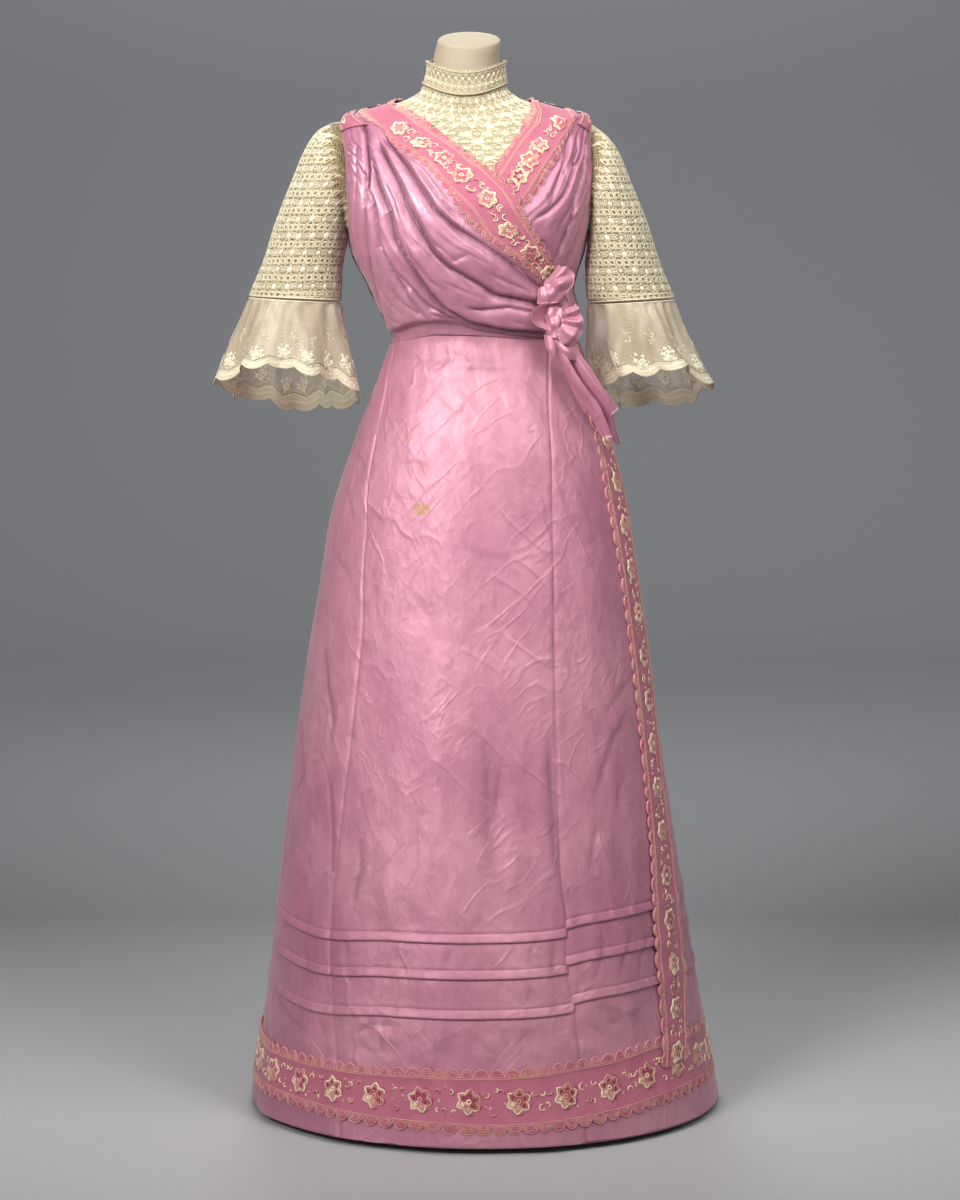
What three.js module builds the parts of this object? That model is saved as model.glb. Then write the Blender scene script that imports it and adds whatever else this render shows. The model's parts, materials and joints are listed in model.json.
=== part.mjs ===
// Day dress on a limbless dress form. Millimetres, +Z up, front faces -Y,
// +X is the wearer's left. The origin is the middle of the base's underside.
import * as THREE from "three";

// ---------------------------------------------------------------- sizes
const SILK = 1.4;            // silk wall
const LACE = 1.3;            // lace wall
const TRIM = 1.2;            // embroidered band wall
const SEAM_DEG = 0.11;       // half a seam gap, in degrees round the body
const FORM_GAP = 8;          // form's surface lies this far inside the cloth
const TUCK_H = 11;           // height of a tuck
const TUCK_OUT = 1.6;        // how far a tuck's lower edge stands out
const BASE_R = 205, BASE_H = 22, POLE_R = 17;
const CROSS_OUT = 5.2;       // upper front over lower front

// rows from named columns
const table = (cols, rows) => {
  const names = cols.split(" ");
  return rows.map((r) => Object.fromEntries(names.map((n, i) => [n, r[i]])));
};

// Body sections. v names the section and is its height at the sides; zf and zb
// are its heights at the front and back middle; cx, cy its centre; ax its
// half width; bf, bb its half depths; n its squareness.
const BODY = table("v zf zb cx cy ax bf bb n", [
  [8, 8, 6, 6, 0, 310, 295, 345, 2.0],
  [94, 94, 94, 4, 0, 294, 277, 325, 2.0],
  [203, 203, 203, 2, 0, 277, 257, 302, 2.0],
  [338, 338, 338, -1, 0, 260, 233, 276, 2.0],
  [499, 499, 499, -3, 0, 238, 205, 246, 2.0],
  [658, 658, 658, -2, 0, 215, 178, 218, 2.0],
  [791, 791, 791, -1, 0, 193, 155, 193, 2.0],
  [873, 873, 873, 2, 0, 170, 139, 171, 2.0],
  [936, 936, 936, 3, 0, 147, 122, 143, 2.0],
  [977, 977, 977, 5, 0, 132, 108, 114, 2.05],
  [1017, 1017, 1017, 6, 0, 122, 98, 90, 2.1],
  [1051, 1051, 1051, 0, 0, 128, 110, 90, 2.1],
  [1082, 1082, 1082, -11, 0, 132, 121, 94, 2.1],
  [1134, 1134, 1134, -16, 0, 151, 134, 103, 2.15],
  [1181, 1180, 1181, -15, 0, 159, 136, 108, 2.2],
  [1221, 1215, 1220, -15, 0, 160, 127, 111, 2.25],
  [1261, 1247, 1256, -16, 0, 160, 109, 107, 2.3],
  [1290, 1269, 1282, -18, 0, 161, 93, 98, 2.3],
  [1303, 1283, 1298, -18, -2, 156, 82, 88, 2.2],
  [1312, 1293, 1311, -18, -4, 128, 72, 77, 2.1],
  [1321, 1302, 1322, -19, -5, 96, 64, 67, 2.0],
  [1331, 1312, 1334, -20, -6, 70, 58, 59, 2.0],
  [1342, 1325, 1347, -20, -7, 57, 54, 54, 2.0],
  [1362, 1346, 1369, -18, -8, 51.5, 50, 50, 2.0],
  [1377, 1362, 1386, -18, -8, 50, 49, 49, 2.0],
]);

// Soft folds of the skirt: at = degrees round, wide = half width in degrees,
// out = height of the ridge, v_lo and v_hi = where it is full and where it ends.
const SKIRT_FOLDS = table("at wide out v_lo v_hi", [
  [-66, 12, 4, 60, 760],
  [-36, 11, 2.5, 120, 560],
  [-10, 12, 2.5, 160, 700],
  [14, 11, 3, 180, 620],
  [100, 14, 5, 60, 800],
  [128, 14, 9, 40, 940],
  [154, 14, 12, 40, 980],
  [180, 14, 10, 40, 980],
  [206, 14, 12, 40, 980],
  [232, 14, 9, 40, 940],
  [260, 14, 5, 60, 800],
]);

// Tucks of the skirt: v = height of the middle of each.
const TUCKS = table("v", [[266], [221], [172]]);
// How the tucks rise and fall round the skirt: step is the rise left of seam B.
const TUCK_WAVE = table("at rise", [
  [-180, 4], [-120, 6], [-78, 3], [-48, -9], [-25, -1], [0, 0], [24, 4],
  [24.5, 14], [40, 20], [56, 22], [90, 22], [130, 12], [180, 4],
]);

// Skirt seams, degrees round at each height.
const SEAM_A = table("v at", [
  [8, -36], [109, -39.4], [164, -42], [276, -45.7], [391, -44.7], [519, -43.3],
  [634, -43.5], [724, -46.5], [773, -47.7], [845, -53.2], [885, -55.4],
  [933, -59.3], [1013, -74],
]);
const SEAM_B = table("v at", [
  [8, 24.7], [111, 25], [176, 24.5], [219, 23.4], [281, 24.2], [336, 23.5],
  [486, 24.9], [687, 27.2], [877, 31.8], [1015, 42],
]);
const SEAM_C = table("v at", [[8, -118], [500, -114], [1013, -106]]);
const SEAM_D = table("v at", [[8, 118], [500, 114], [1013, 106]]);

// Waist line and the lower edge of the draped bodice, degrees and height.
const WAIST = table("at v", [
  [-180, 1009], [-110, 1009], [-77, 1011], [-44, 1019], [-27, 1023], [-2, 1022],
  [21, 1018], [38, 1016], [90, 1012], [180, 1009],
]);
const BLOUSE = table("at v", [
  [-180, 1014], [-110, 1014], [-88, 1017], [-60, 1026], [-40, 1035], [-18, 1039],
  [-2, 1031], [21, 1023], [45, 1019], [90, 1016], [180, 1014],
]);

// Embroidered band of the right front: outer and inner edges, shoulder to waist.
const BAND_R = table("at_out v_out at_in v_in", [
  [-92, 1309.5, -92, 1323],
  [-60, 1305, -67, 1321],
  [-41.2, 1298, -45.5, 1320],
  [-35.9, 1289, -26.4, 1314],
  [-32.3, 1277, -15.5, 1307.5],
  [-25.3, 1265, -5.7, 1293],
  [-16.5, 1244, -1, 1277],
  [-11.9, 1226, 2.6, 1258],
  [-7.1, 1203, 7.9, 1241],
  [-1.9, 1174, 18.1, 1213],
  [4.8, 1150, 24.8, 1176],
  [15.5, 1130, 31.6, 1154],
  [25.7, 1113, 39.6, 1132],
  [37.9, 1095, 48.3, 1114],
  [46, 1082, 54, 1096],
]);
// How the right front goes on below its band, down to the waist.
const BAND_R_LOW = table("at_out v_out at_in v_in", [
  [47.5, 1052, 57, 1056],
  [46, 1022, 55, 1017.5],
]);
// The same of the left front, shoulder to where it passes below the right one.
const BAND_L = table("at_out v_out at_in v_in", [
  [92, 1309.5, 92, 1325],
  [68, 1305, 70, 1323],
  [55.2, 1294, 54.3, 1319],
  [47.3, 1272, 29.7, 1310],
  [42.8, 1253, 18.6, 1291],
  [37.2, 1236, 14.2, 1271],
  [33.4, 1217, 10, 1253],
  [27.9, 1197, 7.1, 1234],
  [19, 1176, 3, 1212],
  [13, 1160, 1, 1194],
]);
const BAND_L_LOW = table("at_out v_out at_in v_in", [
  [18, 1120, 6, 1130],
  [22, 1085, 9, 1090],
  [25, 1052, 12, 1052],
  [28, 1021, 15, 1024],
]);
// Band round the back of the neck.
const BAND_B = table("at_out v_out at_in v_in", [
  [92.4, 1309.5, 92.4, 1325],
  [112, 1306, 112, 1324],
  [135, 1293, 135, 1318],
  [158, 1279, 158, 1310],
  [180, 1273, 180, 1306],
  [202, 1279, 202, 1310],
  [225, 1293, 225, 1318],
  [248, 1306, 248, 1324],
  [267.6, 1309.5, 267.6, 1323],
]);
// Bands over the shoulder seams: front edge and back edge, armhole to neck band.
const BAND_SR = table("at_f v_f at_m v_m at_b v_b", [
  [-80, 1285, -90, 1304.6, -98, 1302.4],
  [-66, 1291.4, -90, 1306.6, -98, 1305.2],
  [-50, 1299.4, -90, 1308.5, -98, 1308],
]);
const BAND_SL = table("at_f v_f at_m v_m at_b v_b", [
  [79, 1284, 90, 1305, 98, 1303],
  [71, 1288.5, 86, 1306, 98, 1305.2],
  [61, 1297.4, 78, 1305.6, 98, 1308.4],
]);
// Band down the left side of the skirt: edges by height.
const BAND_SIDE = table("v at_f at_b", [
  [84, 49.5, 62.5], [143, 52.8, 68], [209, 53.8, 72.5], [289, 55.8, 74.5],
  [351, 58.2, 76.5], [422, 59.6, 78], [484, 60.6, 80], [568, 61.2, 83.5],
  [683, 61, 84.5], [745, 60, 83], [810, 59, 86], [887, 61, 86],
  [950, 63.5, 88], [1009, 67, 89],
]);
// Band above the hem: its upper and lower edge round the skirt.
const BAND_HEM = table("at v_lo v_hi", [
  [-180, 26, 103], [-120, 32, 105], [-72, 35, 104], [-50, 33, 103], [-31, 29, 104],
  [-11, 26, 106], [4, 24, 106], [25, 29, 113], [34, 33, 116], [50, 40, 124],
  [66, 43, 122], [90, 40, 116], [130, 32, 106], [180, 26, 103],
]);

// Armhole: degrees from the side and height, from the bottom round the front.
const ARMHOLE = table("side v", [
  [0, 1147], [8, 1151], [14, 1159], [16.5, 1180], [15.5, 1210], [13, 1240],
  [10, 1268], [5, 1292], [0, 1302.5],
]);
const ARMHOLE_BACK = table("side v", [
  [0, 1147], [7, 1149], [12, 1160], [14, 1185], [13.5, 1215], [11.5, 1245],
  [9, 1272], [5, 1294], [0, 1302.5],
]);

// Folds of the draped right front: points (degrees, height), height and half
// width of the ridge in millimetres.
const DRAPE = [
  { out: 4.0, wide: 13, line: [[-66, 1292], [-60, 1230], [-50, 1165], [-38, 1110], [-22, 1072], [0, 1056], [30, 1050]] },
  { out: 4.4, wide: 13, line: [[-50, 1286], [-44, 1225], [-33, 1170], [-18, 1125], [2, 1098], [30, 1082], [46, 1076]] },
  { out: 4.0, wide: 12, line: [[-40, 1284], [-32, 1236], [-22, 1192], [-9, 1152], [8, 1122], [28, 1100], [42, 1086]] },
  { out: 3.6, wide: 13, line: [[-78, 1240], [-74, 1160], [-66, 1100], [-50, 1062], [-26, 1045], [0, 1036], [28, 1032]] },
];

// Sleeves: the outer and inner end of each section, half depth hy and y centre.
const SLEEVE_R = table("ox oz ix iz hy y", [
  [-194.0, 1295.0, -172.5, 1146.0, 45, 0],
  [-212.0, 1284.0, -173.5, 1140.5, 53, 0],
  [-229.0, 1259.0, -175.0, 1134.5, 58, 0],
  [-246.0, 1217.0, -177.5, 1128.0, 61, -1],
  [-266.0, 1165.0, -180.0, 1119.5, 62, -2],
  [-280.0, 1124.0, -181.0, 1107.0, 62, -3],
  [-291.5, 1093.0, -181.5, 1088.0, 62, -4],
  [-299.5, 1071.5, -183.0, 1065.5, 62, -4],
]);
const SLEEVE_L = table("ox oz ix iz hy y", [
  [154.8, 1287.0, 140.8, 1146.0, 45, 0],
  [166.0, 1277.0, 140.4, 1140.5, 53, 0],
  [180.0, 1258.0, 140.0, 1134.5, 58, 0],
  [196.5, 1217.0, 139.5, 1128.0, 61, -1],
  [217.0, 1165.0, 139.0, 1119.5, 62, -2],
  [231.0, 1124.0, 138.5, 1105.0, 62, -3],
  [243.0, 1091.0, 139.5, 1082.0, 62, -4],
  [251.5, 1069.5, 142.5, 1062.8, 62, -4],
]);
// Net flounces: the same, with drop = how much lower the back edge lies and
// wave = depth of the flutes.
const CUFF_R = table("ox oz ix iz hy y drop wave", [
  [-301.0, 1070.5, -183.2, 1063.6, 63, -4, 0, 0],
  [-313.8, 1040.5, -179.8, 1042.5, 74, -2, 5, 3],
  [-325.3, 1012.0, -173.3, 1012.0, 84, 0, 14, 5.5],
  [-334.5, 985.0, -167.5, 983.0, 92, 2, 27, 8],
  [-340.5, 966.0, -163.5, 958.0, 97, 3, 36, 10],
]);
const CUFF_L = table("ox oz ix iz hy y drop wave", [
  [252.9, 1067.7, 142.1, 1061.1, 63, -4, 0, 0],
  [263.2, 1040.2, 142.4, 1037.6, 74, -2, 5, 3],
  [276.1, 1010.6, 141.1, 1005.4, 84, 0, 14, 5.5],
  [288.5, 984.6, 146.5, 979.4, 92, 2, 25, 8],
  [298.5, 966.0, 155.5, 958.0, 97, 3, 33, 10],
]);
const FLUTES = 7;

// Bow and sash ends: middle line x y z, half width vector wx wy wz.
const BOW = {
  bow_upper: table("x y z wx wy wz", [
    [97, -113, 1063, 12, 0, 0], [93, -118, 1078, 15, 1, 0], [93, -121, 1093, 16, 2, 0],
    [98, -117, 1104, 15, 2, 0], [103, -108, 1104, 14, 2, 0], [106, -102, 1091, 13, 2, 0],
    [105, -101, 1075, 11, 2, 0],
  ]),
  bow_loop_right: table("x y z wx wy wz", [
    [84, -117, 1049, 1, -1, 13], [77, -120, 1051, 1, -2, 17], [69, -120, 1050, 1, -2, 18],
    [61, -117, 1047, 1, -2, 16], [66, -111, 1044, 1, -2, 14], [78, -106.5, 1042, 1, -2, 12],
  ]),
  bow_loop_left: table("x y z wx wy wz", [
    [111, -107, 1040, 4, -2, 14], [120, -108, 1042, 5, -2, 21], [130, -101, 1040, 6, -2, 25],
    [139, -89, 1036, 6, 0, 23], [138, -80, 1032, 5, 2, 19], [129, -82, 1030, 4, 0, 15],
  ]),
  sash_tail_small: table("x y z wx wy wz", [
    [93, -113, 1018, 10, 3, 2], [95, -118, 1006, 10, 3, 3], [97, -121.5, 994, 8, 3, 4],
  ]),
  sash_tail_front: table("x y z wx wy wz", [
    [108, -105, 1018, 8, 6, 4], [117, -107, 997, 12, 9, 6], [131, -108, 972, 15, 12, 8],
    [147, -106, 947, 16, 14, 9], [160, -103, 922, 15, 15, 8], [168, -101, 899, 12, 13, 5],
  ]),
  sash_tail_back: table("x y z wx wy wz", [
    [121, -88, 1010, 8, 8, 3], [135, -87, 988, 11, 12, 5], [150, -83, 962, 13, 14, 7],
    [164, -77, 935, 13, 15, 7], [174, -72, 908, 11, 14, 5], [181, -69, 884, 6, 8, 2],
  ]),
};
const KNOT = { x: 96.5, y: -117, z: 1037.5, rx: 11.5, ry: 8, rz: 16.5 };

// Form below the waist and its neck: z at the middle, centre, half width, half
// depths and how much lower the front lies.
const FORM_HIP = table("z cx cy ax bf bb dip", [
  [700, 0, 4, 60, 48, 56, 0],
  [703, 0, 4, 110, 84, 100, 0],
  [716, 0, 3, 142, 108, 126, 0],
  [745, -1, 2, 158, 119, 138, 0],
  [800, -1, 1, 165, 124, 142, 0],
  [870, 0, 0, 153, 118, 132, 0],
  [930, 2, 0, 134, 106, 108, 0],
  [985, 4, 0, 116, 92, 84, 0],
]);
const FORM_NECK = table("z cx cy ax bf bb dip", [
  [1362, -18, -8, 44, 43, 43, 12],
  [1382, -17, -8.5, 42.5, 42, 42, 12],
  [1400, -14.5, -9, 41, 41, 41, 11],
  [1404, -14, -9, 38.5, 38.5, 38.5, 11],
]);

// ---------------------------------------------------------------- functions
const RAD = Math.PI / 180;
const clamp = (x, a, b) => Math.min(Math.max(x, a), b);
const smooth = (a, b, x) => { const t = clamp((x - a) / (b - a), 0, 1); return t * t * (3 - 2 * t); };

const slopes = (x, y) => {
  const h = [], d = [], m = [];
  for (let k = 0; k + 1 < x.length; k++) { h[k] = x[k + 1] - x[k]; d[k] = (y[k + 1] - y[k]) / h[k]; }
  m[0] = d[0];
  for (let k = 1; k + 1 < x.length; k++) {
    const w1 = 2 * h[k] + h[k - 1], w2 = h[k] + 2 * h[k - 1];
    m[k] = d[k - 1] * d[k] > 0 ? (w1 + w2) / (w1 / d[k - 1] + w2 / d[k]) : 0;
  }
  m.push(d[d.length - 1]);
  return m;
};
// monotone curve through column c of table t against column key
const curve = (t, key, c) => {
  const x = t.map((r) => r[key]), y = t.map((r) => r[c]), m = slopes(x, y);
  return (q) => {
    q = clamp(q, x[0], x[x.length - 1]);
    let k = 0;
    while (k < x.length - 2 && q >= x[k + 1]) k++;
    const h = x[k + 1] - x[k], s = (q - x[k]) / h;
    return (2 * s ** 3 - 3 * s ** 2 + 1) * y[k] + (s ** 3 - 2 * s ** 2 + s) * h * m[k]
      + (-2 * s ** 3 + 3 * s ** 2) * y[k + 1] + (s ** 3 - s ** 2) * h * m[k + 1];
  };
};
const bodyCol = Object.fromEntries(["zf", "zb", "cx", "cy", "ax", "bf", "bb", "n"].map((c) => [c, curve(BODY, "v", c)]));
const pw = (a, e) => Math.sign(a) * Math.abs(a) ** e;
const bodyPoint = (at, v) => {
  const s = Math.sin(at * RAD), c = Math.cos(at * RAD), e = 2 / bodyCol.n(v);
  const b = c > 0 ? bodyCol.bf(v) : bodyCol.bb(v), z = c > 0 ? bodyCol.zf(v) : bodyCol.zb(v);
  return new THREE.Vector3(bodyCol.cx(v) + bodyCol.ax(v) * pw(s, e), bodyCol.cy(v) - b * pw(c, e), v * s * s + z * c * c);
};
const wrap = (at) => ((at + 180) % 360 + 360) % 360 - 180;
const skirtDrape = (at, v) => {
  let o = 0;
  for (const f of SKIRT_FOLDS) {
    const d = Math.abs(wrap(at - f.at)) / f.wide;
    if (d < 1) o += f.out * (0.5 + 0.5 * Math.cos(Math.PI * d)) * (1 - smooth(f.v_lo, f.v_hi, v));
  }
  return o;
};
// body surface moved out by off
const S = (at, v, off = 0) => {
  v = clamp(v, 8, 1377);
  const e = 0.05, ev = 0.5, lo = Math.max(v - ev, 8), hi = Math.min(v + ev, 1377);
  const a = bodyPoint(at + e, v).sub(bodyPoint(at - e, v));
  const b = bodyPoint(at, hi).sub(bodyPoint(at, lo));
  const nrm = a.cross(b).normalize();
  return bodyPoint(at, v).addScaledVector(nrm, off + (v < 1000 ? skirtDrape(at, v) : 0));
};

const group = new THREE.Group();
const COLOURS = {
  silk: [0xc98aa6, 0.42, 0], trim: [0xb9748c, 0.75, 0], lace: [0xe7dcc4, 0.85, 0],
  net: [0xefe6d2, 0.9, 0], form: [0xe9dfc8, 0.8, 0], iron: [0x35302c, 0.5, 0.1],
};
const mats = Object.fromEntries(Object.entries(COLOURS).map(([k, c]) => [k, c]));
const add = (name, kind, positions, index) => {
  const g = new THREE.BufferGeometry();
  g.setAttribute("position", new THREE.Float32BufferAttribute(positions.flatMap((p) => [p.x, p.y, p.z]), 3));
  g.setIndex(index);
  g.computeVertexNormals();
  const [color, roughness, metalness] = mats[kind];
  const mesh = new THREE.Mesh(g, new THREE.MeshStandardMaterial({ color, roughness, metalness }));
  mesh.name = name;
  group.add(mesh);
};

// Closed wall over a grid of ni by nj points: at(i, j, outer) gives a point.
// i runs to the wearer's left when seen from outside (+ degrees), j runs up.
const wall = (name, kind, ni, nj, ringed, at) => {
  const pos = [], idx = [];
  for (const outer of [true, false]) {
    for (let j = 0; j < nj; j++) for (let i = 0; i < ni; i++) pos.push(at(i, j, outer));
  }
  const id = (i, j, o) => (o ? 0 : ni * nj) + j * ni + (i % ni);
  const ci = ringed ? ni : ni - 1;
  const quad = (a, b, c, d) => {
    const p = pos;
    if (p[a].distanceToSquared(p[c]) <= p[b].distanceToSquared(p[d])) idx.push(a, b, c, a, c, d);
    else idx.push(a, b, d, b, c, d);
  };
  for (let j = 0; j + 1 < nj; j++) {
    for (let i = 0; i < ci; i++) {
      const o = [id(i, j, 1), id(i + 1, j, 1), id(i + 1, j + 1, 1), id(i, j + 1, 1)];
      const n = ni * nj;
      const split = pos[o[0]].distanceToSquared(pos[o[2]]) <= pos[o[1]].distanceToSquared(pos[o[3]]);
      const [a, b, c, d] = o;
      if (split) { idx.push(a, b, c, a, c, d, a + n, c + n, b + n, a + n, d + n, c + n); }
      else { idx.push(a, b, d, b, c, d, a + n, d + n, b + n, b + n, d + n, c + n); }
    }
  }
  for (let i = 0; i < ci; i++) {
    quad(id(i, 0, 0), id(i + 1, 0, 0), id(i + 1, 0, 1), id(i, 0, 1));
    quad(id(i, nj - 1, 1), id(i + 1, nj - 1, 1), id(i + 1, nj - 1, 0), id(i, nj - 1, 0));
  }
  if (!ringed) {
    for (let j = 0; j + 1 < nj; j++) {
      quad(id(0, j, 0), id(0, j, 1), id(0, j + 1, 1), id(0, j + 1, 0));
      quad(id(ni - 1, j, 1), id(ni - 1, j, 0), id(ni - 1, j + 1, 0), id(ni - 1, j + 1, 1));
    }
  }
  add(name, kind, pos, idx);
};

// Stack of rings closed at both ends.
const solidRings = (name, kind, rings, capTop) => {
  const n = rings[0].length, pos = rings.flat(), idx = [];
  for (let j = 0; j + 1 < rings.length; j++) {
    for (let i = 0; i < n; i++) {
      const a = j * n + i, b = j * n + (i + 1) % n, c = b + n, d = a + n;
      idx.push(a, b, c, a, c, d);
    }
  }
  const mid = (r) => r.reduce((s, p) => s.add(p), new THREE.Vector3()).multiplyScalar(1 / r.length);
  const bot = pos.length; pos.push(mid(rings[0]));
  const top = pos.length; pos.push(mid(rings[rings.length - 1]).add(new THREE.Vector3(0, 0, capTop)));
  for (let i = 0; i < n; i++) {
    const k = (i + 1) % n, t0 = (rings.length - 1) * n;
    idx.push(bot, k, i, top, t0 + i, t0 + k);
  }
  add(name, kind, pos, idx);
};

// Four-sided panel between four curves of (degrees, height) points, as the
// wearer-right side, the left side, the bottom and the top.
const along = (pts, n) => {
  const fr = Array.isArray(n) ? n : Array.from({ length: n }, (_, i) => i / (n - 1));
  const len = [0];
  for (let k = 1; k < pts.length; k++) {
    len.push(len[k - 1] + Math.hypot((pts[k][0] - pts[k - 1][0]) * 2.2, pts[k][1] - pts[k - 1][1]));
  }
  const total = len[len.length - 1], out = [];
  for (const f of fr) {
    const q = total * f;
    let k = 0;
    while (k < pts.length - 2 && q > len[k + 1]) k++;
    const s = (q - len[k]) / (len[k + 1] - len[k] || 1);
    out.push([pts[k][0] + s * (pts[k + 1][0] - pts[k][0]), pts[k][1] + s * (pts[k + 1][1] - pts[k][1])]);
  }
  return out;
};
const shares = (pts) => {                    // share of the whole length at each point
  const len = [0];
  for (let k = 1; k < pts.length; k++) len.push(len[k - 1] + Math.hypot((pts[k][0] - pts[k - 1][0]) * 2.2, pts[k][1] - pts[k - 1][1]));
  return len.map((l) => l / len[len.length - 1]);
};
// ni columns; nj rows, or the shares of the height at which the rows lie
const coons = (left, right, bottom, top, ni, nj) => {
  const rows = Array.isArray(nj) ? nj : Array.from({ length: nj }, (_, j) => j / (nj - 1));
  nj = rows.length;
  const L = along(left, rows), R = along(right, rows), B = along(bottom, ni), T = along(top, ni);
  return (i, j) => {
    const u = i / (ni - 1), w = rows[j];
    return [0, 1].map((k) => (1 - u) * L[j][k] + u * R[j][k] + (1 - w) * B[i][k] + w * T[i][k]
      - (1 - u) * (1 - w) * L[0][k] - u * (1 - w) * R[0][k] - (1 - u) * w * L[nj - 1][k] - u * w * R[nj - 1][k]);
  };
};

// ---------------------------------------------------------------- skirt
const wave = curve(TUCK_WAVE, "at", "rise");
const waist = curve(WAIST, "at", "v");
const blouse = curve(BLOUSE, "at", "v");
const hemLo = curve(BAND_HEM, "at", "v_lo"), hemHi = curve(BAND_HEM, "at", "v_hi");
const LO_V = 30, MID_V = 70, HI_V = 110, TOP_V = 1009;
const SKIRT_V = [9, LO_V, MID_V, HI_V];
for (const t of [...TUCKS].reverse()) SKIRT_V.push(t.v - TUCK_H / 2 - 0.8, t.v - TUCK_H / 2, t.v + TUCK_H / 2);
SKIRT_V.push(330, 500, 660, 790, 870, 930, 970, TOP_V);
// row height at a place round the skirt
const rowHeight = (v0, at) => {
  if (v0 === LO_V) return hemLo(at);
  if (v0 === MID_V) return (hemLo(at) + hemHi(at)) / 2;
  if (v0 === HI_V) return hemHi(at);
  if (v0 > 120 && v0 < 290) return v0 + wave(at);
  if (v0 === TOP_V) return waist(at) - 0.3;
  if (v0 === 970) return 970 + (waist(at) - TOP_V) * 0.4;
  return v0;
};
const tuckOut = (v0) => {
  for (const t of TUCKS) {
    if (v0 === t.v - TUCK_H / 2) return TUCK_OUT;
  }
  return 0;
};
const seamA = curve(SEAM_A, "v", "at"), seamB = curve(SEAM_B, "v", "at");
const seamC = curve(SEAM_C, "v", "at"), seamD = curve(SEAM_D, "v", "at");
const sideF = curve(BAND_SIDE, "v", "at_f"), sideB = curve(BAND_SIDE, "v", "at_b");
const even = (l, r, n) => (v) => Array.from({ length: n }, (_, i) => l(v) + (r(v) - l(v)) * i / (n - 1));
const half = (a, b, t) => a + (b - a) * t;
// the places round the skirt of each gore's columns, at height v
const GORES = {
  skirt_back_right: even(() => -180, seamC, 7),
  skirt_side_right: even(seamC, seamA, 8),
  skirt_front: even(seamA, seamB, 9),
  skirt_side_left: (v) => {
    const b = seamB(v), f = sideF(v), k = sideB(v), d = seamD(v);
    return [b, half(b, f, 0.34), half(b, f, 0.68), f, half(f, k, 0.5), k, half(k, d, 0.33), half(k, d, 0.67), d];
  },
  skirt_back_left: even(seamD, () => 180, 7),
};
const SIDE_OF_B = { skirt_front: (a) => Math.min(a, 24), skirt_side_left: (a) => Math.max(a, 24.6) };
const gorePoint = (name, i, j, off, gap) => {
  const v0 = SKIRT_V[j], cols = GORES[name](v0), n = cols.length;
  const at = cols[i] + (i === 0 ? gap : i === n - 1 ? -gap : 0);
  return S(at, rowHeight(v0, (SIDE_OF_B[name] ?? ((a) => a))(at)), off);
};
for (const name of Object.keys(GORES)) {
  wall(name, "silk", GORES[name](100).length, SKIRT_V.length, false,
    (i, j, outer) => gorePoint(name, i, j, outer ? SILK + tuckOut(SKIRT_V[j]) : 0, SEAM_DEG));
}
const HEM_COLS = Object.keys(GORES).flatMap((name) => GORES[name](100).slice(0, -1).map((_, i) => [name, i]));
wall("trim_hem", "trim", HEM_COLS.length, 3, true,
  (i, j, outer) => gorePoint(...HEM_COLS[i], j + 1, SILK + 0.4 + (outer ? TRIM : 0), 0));
wall("trim_side", "trim", 3, SKIRT_V.length - 2, false, (i, j, outer) => {
  const v0 = SKIRT_V[j + 2], over = v0 <= HI_V ? TRIM + 0.4 : 0;
  return gorePoint("skirt_side_left", i + 3, j + 2, SILK + tuckOut(v0) + over + 0.4 + (outer ? TRIM : 0), 0);
});

// ---------------------------------------------------------------- waist, bodice
const BELT_N = 28;
wall("waistband", "silk", BELT_N, 3, true, (i, j, outer) => {
  const at = -180 + 360 * i / BELT_N;
  const v = [waist(at) + 0.3, waist(at) + 13, 1046][j];
  return S(at, v, -2.6 + (outer ? SILK : 0));
});

const arm = (t, side, from) => t.map((r) => [side * (90 + from * r.side), r.v]);
const armR = arm(ARMHOLE, -1, -1), armL = arm(ARMHOLE, 1, -1);
const armRB = arm(ARMHOLE_BACK, -1, 1), armLB = arm(ARMHOLE_BACK, 1, 1);

const edge = (a, b, n, f) => Array.from({ length: n }, (_, i) => { const at = a + (b - a) * i / (n - 1); return [at, f(at)]; });
const foldField = (list, at, v) => {
  let o = 0;
  for (const f of list) {
    let best = 1e9;
    for (let k = 0; k + 1 < f.line.length; k++) {
      const [a0, v0] = f.line[k], [a1, v1] = f.line[k + 1], w = 2.2;
      const dx = (a1 - a0) * w, dy = v1 - v0, px = (at - a0) * w, py = v - v0;
      const s = clamp((px * dx + py * dy) / (dx * dx + dy * dy), 0, 1);
      best = Math.min(best, Math.hypot(px - s * dx, py - s * dy));
    }
    const d = best / f.wide;
    if (d < 1) o = Math.max(o, f.out * (0.5 + 0.5 * Math.cos(Math.PI * d)));
  }
  return o;
};
const STEPS = 2;                             // cells across a band
const bandPoint = (r, k) => [r.at_out + (r.at_in - r.at_out) * k / STEPS, r.v_out + (r.v_in - r.v_out) * k / STEPS];
// n rows along a table's own run, on a smooth curve through its rows
const finer = (rows, n) => {
  const key = rows.map((r, i) => ({ ...r, s: i })), names = Object.keys(rows[0]);
  const f = names.map((c) => curve(key, "s", c));
  return Array.from({ length: n }, (_, i) => Object.fromEntries(names.map((c, k) => [c, f[k]((rows.length - 1) * i / (n - 1))])));
};
const LOW_R = 3, LOW_L = 5;                  // rows of silk below the bands
const bandsR = finer(BAND_R, 17), bandsL = finer(BAND_L, 12);
const lowR = finer([BAND_R[BAND_R.length - 1], ...BAND_R_LOW], LOW_R + 1).slice(1);
const lowL = finer([BAND_L[BAND_L.length - 1], ...BAND_L_LOW], LOW_L + 1).slice(1);
const rowsR = [...bandsR, ...lowR].reverse(), rowsL = [...bandsL, ...lowL].reverse();
const outerR = rowsR.map((r) => bandPoint(r, 0)), outerL = rowsL.map((r) => bandPoint(r, 0));
const bandROutAt = curve(rowsR, "v_out", "at_out");
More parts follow.
